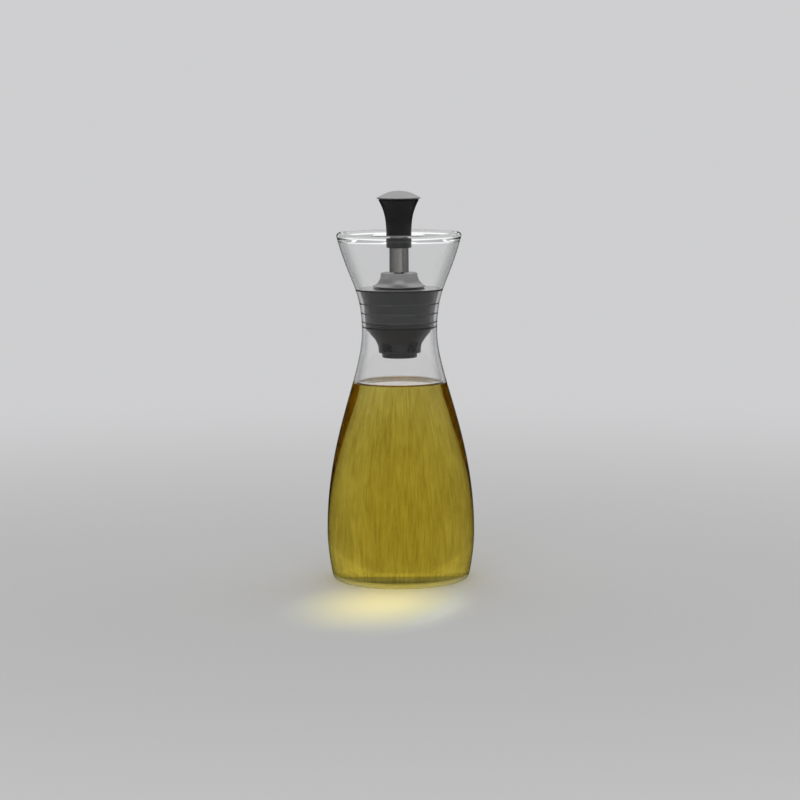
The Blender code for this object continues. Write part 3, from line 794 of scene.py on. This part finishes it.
def plain_finish(
    name, dark, light, rough, grain, depth, shine=0.5, dust=0.0, powder=0.0, painted_highlights=False
):
    """A dull moulded finish: mottled colour, uneven gloss and a grain of a size in millimetres."""
    look, tree = new_look(name)
    place = round_place(tree)[3]
    mottle = graded(tree, noise(tree, place, MOTTLE_SCALE, 4.0), 0.3, 0.7)
    colour = blended(tree, mottle, dark, light)
    fine = noise(tree, place, 1000.0 / grain, 3.0, 0.6)
    if dust:
        colour = dusted(tree, place, colour, dust)
    gloss = graded(tree, mottle, 0.0, 1.0, rough - GLOSS_SPREAD, rough + GLOSS_SPREAD)
    # Painted highlights: the top and the rib crests are painted paler for the light that catches
    # them, and the top is also smoother.
    if painted_highlights:
        painted_top_highlight = blended(tree, mottle, TOP_HIGHLIGHT_DARK, TOP_HIGHLIGHT_LIGHT)
        colour = blended(tree, marked(tree, "crest"), colour, CREST_PAINTED_HIGHLIGHT)
        colour = blended(tree, marked(tree, "top"), colour, painted_top_highlight)
        gloss = calc(tree, "MULTIPLY", gloss, marked(tree, "top", 1.0, TOP_SMOOTHING))
        fine = calc(tree, "MULTIPLY", fine, marked(tree, "top", 1.0, TOP_SMOOTHING))
    inputs = {
        "Base Color": colour,
        "Roughness": gloss,
        "IOR": 1.45,
        "Specular IOR Level": shine,
        "Sheen Weight": powder,
        "Sheen Roughness": POWDER_SPREAD,
        "Normal": raised(tree, fine, depth),
    }
    close_look(tree, principled(tree, inputs))
    return look


print("dull finishes have", MOTTLE_SCALE, "patches to a metre")

# %% Finishes for silicone and plastic
CHARCOAL = (0.032, 0.032, 0.035), (0.044, 0.044, 0.047)
BLACK = (0.013, 0.013, 0.013), (0.019, 0.019, 0.019)
DEEP_BLACK = (0.009, 0.009, 0.010), (0.014, 0.014, 0.015)
# The silicone gets painted highlights on its top and on the crests of its ribs.
SILICONE = plain_finish(
    "charcoal_silicone", *CHARCOAL, rough=0.46, grain=0.35, depth=1.2e-5, powder=0.4, painted_highlights=True
)
MOULDING = plain_finish("black_moulding", *BLACK, rough=0.40, grain=0.30, depth=0.8e-5, shine=0.4)
GRIP = plain_finish(
    "black_grip", *DEEP_BLACK, rough=0.38, grain=0.25, depth=0.8e-5, shine=0.35, dust=0.5
)
print("silicone, core and grip are ready")

# %% Helpers for metal
# Painted shade: the colour that metal is darkened towards where it is seen edge on.
METAL_PAINTED_EDGE_SHADE = (0.03, 0.03, 0.03)
METAL_SPREAD = 0.04
# The share of the broad bands along the stem, which are painted reflections.
PAINTED_BAND_SHARE = 0.6


def metal_finish(name, colour, rough, lines, depth, contrast=0.1, edge=0.0, span=(0.25, 0.95)):
    """A metal with a brushed grain and painted shade where it is seen edge on. The lines function
    gives its noise.
    """
    look, tree = new_look(name)
    grain = lines(tree)
    level = graded(tree, grain, 0.3, 0.7)
    dark = tuple((1 - contrast) * c for c in colour)
    tone = blended(tree, level, dark, colour)
    # Painted shade: where the metal is seen edge on, its colour is darkened by the share that edge
    # gives.
    if edge:
        share = calc(tree, "MULTIPLY", edge_on(tree, *span), edge)
        tone = blended(tree, share, tone, METAL_PAINTED_EDGE_SHADE)
    inputs = {
        "Base Color": tone,
        "Metallic": 1.0,
        "Roughness": graded(tree, level, 0.0, 1.0, rough - METAL_SPREAD, rough + METAL_SPREAD),
        "Normal": raised(tree, grain, depth),
    }
    close_look(tree, principled(tree, inputs))
    return look


def brushed_rings(tree):
    return ring_lines(tree, per_metre=5200.0, round_share=2.5)


def brushing_and_painted_bands(tree):
    """Broad painted reflections along a tube, with fine lines from brushing in them."""
    reflection_bands = drawn_lines(tree, lines=3.2, per_metre=6.0, detail=1.0)
    fine = drawn_lines(tree, lines=40.0, per_metre=30.0)
    return graded(tree, mixed(tree, reflection_bands, fine, PAINTED_BAND_SHARE), 0.40, 0.60, 0.3, 0.7)


print("brushing runs in rings or along a tube")

# %% Finishes for metal
SATIN_GREY, DOME_GREY = (0.41, 0.40, 0.40), (0.45, 0.44, 0.445)
BRIGHT_GREY, BRASS_YELLOW = (0.42, 0.405, 0.39), (0.78, 0.57, 0.22)
TUBE_SHADE_SPAN = (0.14, 0.6)
# Every steel here gets painted shade where it is seen edge on.
SATIN = metal_finish("satin_steel", SATIN_GREY, 0.40, brushed_rings, 6e-6, edge=0.45)
DOME = metal_finish("dome_steel", DOME_GREY, 0.42, brushed_rings, 6e-6, contrast=0.12, edge=0.5)
# The stem's broad bands are painted reflections, at a strong contrast of 0.7, with fine brushing
# lines in them.
BRIGHT = metal_finish(
    "bright_steel", BRIGHT_GREY, 0.20, brushing_and_painted_bands, 3e-6, 0.7, edge=0.95, span=TUBE_SHADE_SPAN
)
BRASS = metal_finish("turned_brass", BRASS_YELLOW, 0.28, brushed_rings, 6e-6)
print("satin steel, the dome's steel, bright steel and brass are ready")

# %% [markdown]
# ## The glass bottle
#
# The bottle is one closed skin: the inside from the middle of its floor up to the rim, over
# the rounded bead, and down the outside to the standing ring and the shallow hollow under it.
# The outside is drawn from three curves that meet without a kink, at the belly and at the neck.
# The floor is drawn thin, so that the oil's colour comes down to the table. A Solidify modifier
# could thicken an open shape, but then the bead and the floor couldn't have a thickness of their
# own, so the whole skin is drawn.

# %% Outside of the glass
BELLY_RADIUS, BELLY_HEIGHT = 38.0, 25.0
NECK_RADIUS, NECK_HEIGHT = 19.3, 128.0
MOUTH_RADIUS, RIM_HEIGHT = 32.0, 179.0
BEAD_RADIUS = 1.6
HEEL_RADIUS, RING_RADIUS = 2.4, 33.0
HEEL_END = -12.0
BEAD_INSIDE, BEAD_OUTSIDE = 208.0, -15.0

# Shares of a curve's rise from its end to the point that holds its direction there
FOOT_HOLD, BELLY_HOLD_BELOW = 0.32, 0.335
BELLY_HOLD_ABOVE, NECK_HOLD_BELOW = 0.475, 0.22
NECK_HOLD_ABOVE, MOUTH_HOLD, MOUTH_LEAN = 0.465, 0.49, 0.26


def bead():
    """The rounded rim, from its inner side over the top to its outer side."""
    centre = (MOUTH_RADIUS - BEAD_RADIUS, RIM_HEIGHT - BEAD_RADIUS)
    return arc(centre, BEAD_RADIUS, BEAD_INSIDE, BEAD_OUTSIDE, 26)


def outer_wall():
    heel = arc((RING_RADIUS, HEEL_RADIUS), HEEL_RADIUS, -90, HEEL_END, 9)
    foot, lean = heel[-1], math.radians(90 + HEEL_END)
    rise = BELLY_HEIGHT - foot[1]
    hold = FOOT_HOLD * rise
    foot_hold = (foot[0] + hold * math.cos(lean), foot[1] + hold * math.sin(lean))
    belly_hold = (BELLY_RADIUS, BELLY_HEIGHT - BELLY_HOLD_BELOW * rise)
    lower = curve(foot, foot_hold, belly_hold, (BELLY_RADIUS, BELLY_HEIGHT), 14)
    rise = NECK_HEIGHT - BELLY_HEIGHT
    belly_hold = (BELLY_RADIUS, BELLY_HEIGHT + BELLY_HOLD_ABOVE * rise)
    neck = (NECK_RADIUS, NECK_HEIGHT)
    neck_hold = (NECK_RADIUS, NECK_HEIGHT - NECK_HOLD_BELOW * rise)
    shoulder = curve(lower[-1], belly_hold, neck_hold, neck, 46)
    mouth = bead()[-1]
    rise = mouth[1] - NECK_HEIGHT
    hold = MOUTH_HOLD * rise
    mouth_hold = (mouth[0] - MOUTH_LEAN * hold, mouth[1] - hold)
    neck_hold = (NECK_RADIUS, NECK_HEIGHT + NECK_HOLD_ABOVE * rise)
    funnel = curve(neck, neck_hold, mouth_hold, mouth, 30)
    return heel + lower[1:] + shoulder[1:] + funnel[1:]


OUTER_WALL = outer_wall()
print("the outside has", len(OUTER_WALL), "points below the bead")

# %% Inside of the glass
WALL = 1.7
FLOOR_HEIGHT, FLOOR_CORNER = 2.1, 4.5
CORNER_ROOM, BEAD_ROOM = 0.6, 0.8


def inner_wall():
    """The inside above the floor's rounded corner, from bottom to top."""
    wall = offset_left(OUTER_WALL, WALL)
    start = FLOOR_HEIGHT + FLOOR_CORNER
    bead_foot = bead()[0][1]
    middle = [p for p in wall if start + CORNER_ROOM < p[1] < bead_foot - BEAD_ROOM]
    return [(radius_at(wall, start), start)] + middle


def floor_corner(play):
    """The rounded edge of the floor inside, moved outwards by a play."""
    centre = (INNER_WALL[0][0] - FLOOR_CORNER, FLOOR_HEIGHT + FLOOR_CORNER)
    return arc(centre, FLOOR_CORNER + play, -90, 0, 14)


INNER_WALL = inner_wall()
print("inside radius at the neck:", round(radius_at(INNER_WALL, NECK_HEIGHT), 2), "mm")

# %% Turn the glass
FLOOR_MIDDLE = 12
RING_WIDTH = 3.5
PUNT_HEIGHT = 0.5
PUNT_STEPS = (1.0, 0.9, 0.75, 0.55, 0.3, 0.0)
OIL_LEVEL = 101.0
CREEP = 1.6
WET_MARGIN = 0.3


def glass_outline():
    inside = [(0, FLOOR_HEIGHT), (FLOOR_MIDDLE, FLOOR_HEIGHT)] + floor_corner(0)[:-1] + INNER_WALL
    inner_ring = RING_RADIUS - RING_WIDTH
    punt = [(inner_ring * s, PUNT_HEIGHT * (1 - s * s)) for s in PUNT_STEPS]
    outside = list(reversed(OUTER_WALL))[1:]
    return softened(inside + bead() + outside + punt, 0.5)


def mark_faces(holder, name, rule):
    """Marks the faces that a rule picks by height, direction outwards and direction up."""
    mark = holder.data.attributes.new(name, "FLOAT", "FACE")
    for face in holder.data.polygons:
        outwards = Vector((face.center.x, face.center.y, 0.0)).normalized().dot(face.normal)
        mark.data[face.index].value = float(rule(1000 * face.center.z, outwards, face.normal.z))


def glass_is_wet(height, outwards, upwards):
    return height < OIL_LEVEL + CREEP - WET_MARGIN and (outwards < -0.2 or upwards > 0.5)


glass = turned("bottle_glass", glass_outline(), GLASS, steps=192)
mark_faces(glass, "wet", glass_is_wet)
fitted(glass, "bottle", "glass", "glass_bottle")

# %% [markdown]
# ## The oil
#
# The oil fills the glass to the shoulder. Its skin lies a hair inside the glass wall, so that
# no air shows between them: a gap would turn the sides into mirrors. At the wall its surface
# creeps up in a small curve, the meniscus, which draws the bright ring round the top.

# %% Fill the bottle
OVERLAP = 0.06
CREEP_REACH, CREEP_SPAN = 1.9, 3.2
SURFACE_POINTS, SURFACE_CROWDING = 13, 1.6
LEVEL_STARTS = 9


def oil_is_wet(height, outwards, upwards):
    return height < OIL_LEVEL - WET_MARGIN or outwards > 0.7


def oil_outline():
    edge_height = OIL_LEVEL + CREEP
    side = [(r + OVERLAP, z) for r, z in INNER_WALL if z < edge_height - 0.4]
    edge = radius_at(INNER_WALL, edge_height) + OVERLAP
    bottom = FLOOR_HEIGHT - OVERLAP
    surface = []
    for k in range(1, SURFACE_POINTS + 1):
        back = CREEP_REACH * CREEP_SPAN * (k / SURFACE_POINTS) ** SURFACE_CROWDING
        surface.append((edge - back, OIL_LEVEL + CREEP * math.exp(-back / CREEP_REACH)))
    flat = [(edge - LEVEL_STARTS, OIL_LEVEL), (edge * 0.3, OIL_LEVEL), (0, OIL_LEVEL)]
    floor_line = [(0, bottom), (FLOOR_MIDDLE, bottom)] + floor_corner(OVERLAP)[:-1]
    return floor_line + side + [(edge, edge_height)] + surface + flat


oil = turned("oil_contents", oil_outline(), OIL, steps=192)
mark_faces(oil, "wet", oil_is_wet)
fitted(oil, "bottle", "oil", "oil_fill")

# %% [markdown]
# ## The bung
#
# The bung is a silicone sleeve that follows the hollow of the neck, with a flat top, a sealing
# edge and thin ribs that press on the glass. The ribs are part of the outline: each is a small
# lip that stands out of the groove between its neighbours. Where they touch, they reach a hair
# into the glass wall: no air shows there, so they look as wide as the glass itself. Rings set
# on a plain sleeve would do as well, but one closed outline leaves no faces inside the rubber.

# %% Ribs of the bung
BUNG_TOP, BUNG_BOTTOM = 150.6, 132.9
PRESSED = 0.03
RIB_DEPTH, RIB_HALF, RIB_ROOM = 0.12, 0.45, 0.2
RIB_MIDDLES = (142.99, 137.94, BUNG_BOTTOM + RIB_HALF)
RIB_POINTS = 9


def free_radius(height):
    """The widest round piece that can rise out of the bottle from this height."""
    above = [r for r, z in INNER_WALL if z > height]
    return min(above + [radius_at(INNER_WALL, height)])


def land(height):
    return (free_radius(height) + PRESSED, height, 0.2)


def groove(height, round_reach=0.4):
    return (free_radius(height) - RIB_DEPTH, height, round_reach)


def rib(middle):
    """A rounded lip, from its top to its bottom, that just touches the glass."""
    line = []
    for k in range(RIB_POINTS):
        turn = math.radians(90 - 180 * k / (RIB_POINTS - 1))
        height = middle + RIB_HALF * math.sin(turn)
        line.append((groove(height)[0] + (RIB_DEPTH + PRESSED) * math.cos(turn), height, 0))
    return line


print("a rib stands out", RIB_DEPTH, "mm from its groove")

# %% Turn the bung
BUNG_BORE = 11.7
RIM_RADIUS, RIM_FOOT = 13.3, 148.9
SEALING_EDGE = 0.9


def bung_outline():
    edge = BUNG_TOP - SEALING_EDGE
    side = [land(BUNG_TOP), land(edge), groove(edge - RIB_DEPTH)]
    last = edge - RIB_DEPTH
    for middle in RIB_MIDDLES:
        spans = (last - middle - RIB_HALF - RIB_ROOM) / 4
        side += [groove(last - spans * k, 0) for k in (1, 2, 3, 4)] + rib(middle)
        last = middle - RIB_HALF - RIB_ROOM
    bore = [(BUNG_BORE, BUNG_BOTTOM), (BUNG_BORE, RIM_FOOT)]
    recess = [(RIM_RADIUS, RIM_FOOT), (RIM_RADIUS, BUNG_TOP, 0.15)]
    return softened(side + bore + recess, 0.2, closed=True)


def on_top(height, outwards, upwards):
    return upwards > 0.9 and height > BUNG_TOP - 0.2


def on_crest(height, outwards, upwards):
    return outwards > 0.0 and any(abs(height - middle) < RIB_HALF for middle in RIB_MIDDLES)


bung = turned("bung_sleeve", bung_outline(), SILICONE, steps=192)
mark_faces(bung, "top", on_top)
mark_faces(bung, "crest", on_crest)
fitted(bung, "stopper", "silicone", "bung_seal")

# %% [markdown]
# ## The core
#
# The core is a black moulding. Its tube stands in the bung, its flange closes the bung's foot,
# and below it flares down like a horn to a foot with five windows, where the oil goes in. Inside,
# three arms hold the guide for the valve's rod.
#
# The horn is turned on the lathe. What repeats round the axis is laid out by a second tree, which
# puts a copy of a shape at even steps on a circle: five blocks that cut the windows, and three
# arms that are joined on. Five is odd, so behind each window lies a wall and none shows through.

# %% Build the ring tree
def ring_tree():
    inputs = (("Count", "Int"), ("Radius", "Float"), ("First Turn", "Float"))
    tree, given = new_tree("ring_of_copies", (*inputs, ("Finish", "Material")))
    one = add(tree, "GeometryNodeTransform", {"Geometry": given["Geometry"]})
    shift = add(tree, "ShaderNodeCombineXYZ", {"X": given["Radius"]})
    tree.links.new(shift.outputs[0], one.inputs["Translation"])
    dots = add(tree, "GeometryNodePoints", {"Count": given["Count"]})
    index = add(tree, "GeometryNodeInputIndex").outputs[0]
    step = calc(tree, "DIVIDE", math.tau, given["Count"])
    turn = calc(tree, "ADD", calc(tree, "MULTIPLY", index, step), given["First Turn"])
    facing = add(tree, "ShaderNodeCombineXYZ", {"Z": turn})
    laid = {"Points": dots.outputs[0], "Instance": one.outputs[0], "Rotation": facing.outputs[0]}
    copies = add(tree, "GeometryNodeInstanceOnPoints", laid)
    end_tree(tree, copies.outputs[0], given["Finish"])
    return tree


RING = ring_tree()


def rounded_block(name, size, centre, rounding):
    """A block in millimetres whose edges along X are rounded."""
    body = bmesh.new()
    bmesh.ops.create_cube(body, size=1.0)
    stretch = Matrix.Diagonal((*[length / 1000 for length in size], 1.0))
    place = Matrix.Translation(Vector(centre) / 1000) @ stretch
    bmesh.ops.transform(body, matrix=place, verts=body.verts[:])
    along = [e for e in body.edges if abs(e.verts[0].co.x - e.verts[1].co.x) > WELD]
    bmesh.ops.bevel(
        body, geom=along, offset=rounding / 1000, segments=5, profile=0.5, affect="EDGES"
    )
    return mesh_from(name, body)


print("the ring tree has", len(RING.nodes), "nodes")

# %% Outline of the core
CORE_FOOT, FLANGE_FOOT, FLANGE_TOP = 117.3, 130.3, 132.6
FLANGE_GAP, PART_GAP = 0.05, 0.3
FOOT_RADIUS, KNEE_RADIUS, KNEE_RISE = 10.8, 11.1, 5.2
LOWER_BORE, LOWER_BORE_TOP = 8.8, 127.3
UPPER_BORE, UPPER_BORE_FOOT = 9.8, 128.3


def core_outline():
    top = (free_radius(FLANGE_TOP) - FLANGE_GAP, FLANGE_FOOT)
    knee = (KNEE_RADIUS, CORE_FOOT + KNEE_RISE)
    horn = curve(top, knee, knee, (FOOT_RADIUS, CORE_FOOT), 26)
    rim, pipe, rim_foot = RIM_RADIUS - PART_GAP, BUNG_BORE - PART_GAP, RIM_FOOT + PART_GAP
    outside = [(rim, BUNG_TOP), (rim, rim_foot), (pipe, rim_foot), (pipe, FLANGE_TOP)]
    outside += [(top[0], FLANGE_TOP, 0.4), (*top, 0.3)] + horn[1:]
    inside = [(LOWER_BORE, CORE_FOOT), (LOWER_BORE, LOWER_BORE_TOP)]
    inside += [(UPPER_BORE, UPPER_BORE_FOOT), (UPPER_BORE, BUNG_TOP, 0.3)]
    return softened(outside + inside, 0.2, closed=True)


print("the core's outline has", len(core_outline()), "points")

# %% Make the core
GUIDE_TOP, GUIDE_FOOT = 145.5, 133.5
GUIDE_RADIUS, ROD_BORE = 4.3, 2.8
ARM_SIZE, ARM_HEIGHT, ARM_MIDDLE = (7.05, 1.6, 9.0), 139.5, 0.00707
WINDOW_SIZE, WINDOW_HEIGHT, WINDOW_MIDDLE = (12.0, 5.8, 4.8), 120.6, 0.0138
WINDOW_TURN = math.radians(18)


def joined(piece, tool, operation):
    """Adds a tool to a piece or cuts the piece with it, and takes the tool away."""
    modifier = piece.modifiers.new(operation.lower(), "BOOLEAN")
    modifier.operation = operation
    modifier.solver = "EXACT"
    modifier.object = tool
    settled(piece)
    bpy.data.objects.remove(tool)


def ring_of(mesh, count, radius, first_turn):
    """Even copies of a shape round the axis, as one object."""
    settings = {"Count": count, "Radius": radius, "First Turn": first_turn, "Finish": MOULDING}
    return grown(mesh.name + "s", mesh, RING, settings)


def make_core():
    core = turned("pouring_core", core_outline(), MOULDING, steps=144)
    guide = tube(GUIDE_RADIUS, ROD_BORE, GUIDE_FOOT, GUIDE_TOP, 0.25)
    joined(core, turned("guide", guide, MOULDING, steps=72), "UNION")
    arm = rounded_block("arm", ARM_SIZE, (0, 0, ARM_HEIGHT), 0.35)
    joined(core, ring_of(arm, 3, ARM_MIDDLE, math.pi / 6), "UNION")
    window = rounded_block("window", WINDOW_SIZE, (0, 0, WINDOW_HEIGHT), 0.8)
    joined(core, ring_of(window, 5, WINDOW_MIDDLE, WINDOW_TURN), "DIFFERENCE")
    return faced_outwards(core)


fitted(make_core(), "stopper", "moulding", "pour_core")

# %% [markdown]
# The disc under the core is a plug with a short sleeve that goes up into the horn's foot.

# %% Turn the end disc
DISC_FOOT, DISC_TOP, DISC_RADIUS = 114.8, 117.0, 9.0
SLEEVE_TOP, SLEEVE_BORE, SLEEVE_RADIUS = 118.2, 7.1, 8.5


def disc_outline():
    sleeve = [(SLEEVE_BORE, SLEEVE_TOP), (SLEEVE_RADIUS, SLEEVE_TOP), (SLEEVE_RADIUS, DISC_TOP)]
    top = [(0, DISC_TOP), (SLEEVE_BORE, DISC_TOP)] + sleeve + [(DISC_RADIUS, DISC_TOP)]
    return softened(top + [(DISC_RADIUS, DISC_FOOT, 0.5), (0, DISC_FOOT)], 0.15)


disc = turned("core_disc", disc_outline(), MOULDING, steps=128)
fitted(disc, "stopper", "moulding", "core_end_cap")

# %% [markdown]
# ## The valve
#
# The satin cap is a trumpet of spun metal, with a thin lip, a hollow flare and a collar round a
# shallow dish that the stem stands in. Its hollow is the flare's own curve, moved in by the wall,
# so the sheet is as even as spun sheet is. Under it a silicone seal closes the core.

# %% Turn the valve cap
CAP_FOOT, CAP_TOP = 151.5, 158.6
LIP_RADIUS, LIP_EDGE = 13.4, 0.5
COLLAR_RADIUS, COLLAR_EDGE = 9.45, 0.3
LIP_HOLD_BACK, LIP_HOLD_UP, COLLAR_HOLD = 0.54, 0.15, 0.54
CAP_WALL, CAP_ROOF, CAVITY_ROOM = 1.1, 1.4, 0.1
DISH_DEPTH, DISH_RADIUS, DISH_TOP_RADIUS, CAP_TOP_RADIUS = 0.6, 7.9, 8.5, 9.2


def cap_flare():
    lip = (LIP_RADIUS, CAP_FOOT + LIP_EDGE)
    collar = (COLLAR_RADIUS, CAP_TOP - COLLAR_EDGE)
    rise, spread = collar[1] - lip[1], lip[0] - collar[0]
    lip_hold = (lip[0] - LIP_HOLD_BACK * spread, lip[1] + LIP_HOLD_UP * rise)
    return curve(lip, lip_hold, (COLLAR_RADIUS, collar[1] - COLLAR_HOLD * rise), collar, 24)


def cap_cavity():
    """The hollow under the cap, from its mouth up to its ceiling."""
    ceiling = CAP_TOP - CAP_ROOF
    line = offset_left(cap_flare(), CAP_WALL)
    middle = [p for p in line if CAP_FOOT + CAVITY_ROOM < p[1] < ceiling - CAVITY_ROOM]
    top = (radius_at(line, ceiling), ceiling, 0.5)
    return [(radius_at(line, CAP_FOOT), CAP_FOOT)] + middle + [top]


def cap_outline():
    dish_floor = CAP_TOP - DISH_DEPTH
    dish = [(ROD_BORE, dish_floor), (DISH_RADIUS, dish_floor, 0.4)]
    top = [(DISH_TOP_RADIUS, CAP_TOP, 0.25), (CAP_TOP_RADIUS, CAP_TOP, 0.2)]
    flare = list(reversed(cap_flare())) + [(LIP_RADIUS, CAP_FOOT, 0.15)]
    cavity = cap_cavity()
    inner = [(ROD_BORE, cavity[-1][1])]
    return softened(dish + top + flare + cavity + inner, 0.15, closed=True)


cap = turned("valve_trumpet", cap_outline(), SATIN, steps=144)
fitted(cap, "valve", "satin_steel", "valve_cap")

# %% Turn the valve's seal
SEAL_SEAT, SEAL_TOP = 150.9, 151.9
BOSS_RADIUS, BOSS_FOOT, BOSS_SLOPE = 7.4, 152.9, 1.0


def seal_outline():
    cavity = cap_cavity()
    radius = radius_at([p[:2] for p in cavity], SEAL_TOP) - PART_GAP
    boss_top = cavity[-1][1] - PART_GAP
    boss = [(BOSS_RADIUS, boss_top), (BOSS_RADIUS, BOSS_FOOT), (radius - BOSS_SLOPE, SEAL_TOP)]
    flange = [(radius, SEAL_TOP), (radius, SEAL_SEAT)]
    bore = [(ROD_BORE, SEAL_SEAT), (ROD_BORE, boss_top)]
    return softened(boss + flange + bore, 0.2, closed=True)


seal = turned("valve_plug", seal_outline(), SILICONE, steps=128)
fitted(seal, "valve", "silicone", "valve_seal")

# %% [markdown]
# ## The knob
#
# A steel tube rises from the valve cap into a black grip that widens towards the top, and a
# satin steel dome closes it. The dome overhangs the grip by nearly a millimetre, which leaves the
# thin dark line under its lip. One outline could draw the whole knob, but the real one is put
# together from three parts, so each is turned by itself and the gaps between them are real.

# %% Turn the stem
STEM_FOOT, STEM_TOP, STEM_RADIUS = 158.9, 176.9, 5.0

stem = turned("stem", tube(STEM_RADIUS, ROD_BORE, STEM_FOOT, STEM_TOP, 0.2), BRIGHT, steps=96)
fitted(stem, "valve", "bright_steel", "stem_tube")

# %% Turn the grip
GRIP_FOOT, GRIP_TOP = 171.3, 196.0
GRIP_RADIUS, GRIP_TOP_RADIUS, GRIP_EDGE = 6.45, 10.4, 0.3
STRAIGHT_SHARE = 0.27
EDGE_HOLD, EDGE_LEAN, WAIST_HOLD = 0.30, 0.53, 0.48
SOCKET_RADIUS, SOCKET_TOP = 5.3, 177.2
INSERT_RADIUS, INSERT_TOP = 4.1, 185.5
SPIGOT_HOLE, SPIGOT_SEAT = 3.3, 192.0


def grip_outline():
    straight = GRIP_FOOT + STRAIGHT_SHARE * (GRIP_TOP - GRIP_FOOT)
    edge = (GRIP_TOP_RADIUS, GRIP_TOP - GRIP_EDGE)
    rise = edge[1] - straight
    hold = EDGE_HOLD * rise
    flare_hold = (edge[0] - EDGE_LEAN * hold, edge[1] - hold)
    waist, waist_hold = (GRIP_RADIUS, straight), (GRIP_RADIUS, straight + WAIST_HOLD * rise)
    flare = curve(edge, flare_hold, waist_hold, waist, 30)
    hole = [(0, SPIGOT_SEAT), (SPIGOT_HOLE, SPIGOT_SEAT), (SPIGOT_HOLE, GRIP_TOP)]
    top = [(GRIP_TOP_RADIUS - GRIP_EDGE, GRIP_TOP, 0.2)]
    foot = [(GRIP_RADIUS, GRIP_FOOT, 0.45), (SOCKET_RADIUS, GRIP_FOOT)]
    socket = [(SOCKET_RADIUS, SOCKET_TOP), (INSERT_RADIUS, SOCKET_TOP)]
    socket += [(INSERT_RADIUS, INSERT_TOP), (0, INSERT_TOP)]
    return softened(hole + top + flare + foot + socket, 0.2)


grip = turned("grip", grip_outline(), GRIP, steps=144)
fitted(grip, "valve", "grip", "knob_grip")

# %% Turn the dome
SPIGOT_RADIUS = 3.0
DOME_FOOT, DOME_RADIUS, DOME_EDGE, DOME_RISE = 196.3, 11.2, 0.5, 3.4
CROWN_HOLD, BRIM_HOLD, BRIM_SLOPE = 0.5, 0.30, 0.45


def dome_outline():
    edge, spigot_foot = DOME_FOOT + DOME_EDGE, SPIGOT_SEAT + PART_GAP
    top, brim = edge + DOME_RISE, BRIM_HOLD * DOME_RADIUS
    crown_hold = (CROWN_HOLD * DOME_RADIUS, top)
    brim_hold = (DOME_RADIUS - brim, edge + BRIM_SLOPE * brim)
    dome = curve((0, top), crown_hold, brim_hold, (DOME_RADIUS, edge), 30)
    foot = [(DOME_RADIUS, DOME_FOOT, 0.2), (SPIGOT_RADIUS, DOME_FOOT)]
    return softened(dome + foot + [(SPIGOT_RADIUS, spigot_foot), (0, spigot_foot)], 0.2)


dome = turned("dome", dome_outline(), DOME, steps=144)
fitted(dome, "valve", "satin_steel", "knob_cap")

# %% [markdown]
# ## Inside the stopper
#
# The rod, its nuts and washers and the brass insert are hidden while the bottle stands. Their
# solids already have the right shape, so they stay and take a finish.

# %% Finish the hidden pieces
STEEL_PIECES = ("seal_washer", "seal_nut", "guide_rod", "stop_washer", "stop_nut")
HIDDEN = {**dict.fromkeys(STEEL_PIECES, BRIGHT), "knob_insert": BRASS}
for node_name, look in HIDDEN.items():
    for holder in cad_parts[node_name].material_slots:
        holder.material = look
print(len(HIDDEN), "solids keep their shape and take a finish")

# %% [markdown]
# ## Bounces
#
# Light passes through many skins of glass and oil and runs along inside the wall, so its path is
# allowed far more bends than usual.

# %% Finish
BOUNCES = 96
scene.cycles.max_bounces = BOUNCES
scene.cycles.transmission_bounces = BOUNCES
scene.cycles.glossy_bounces = BOUNCES
scene.cycles.transparent_max_bounces = 64
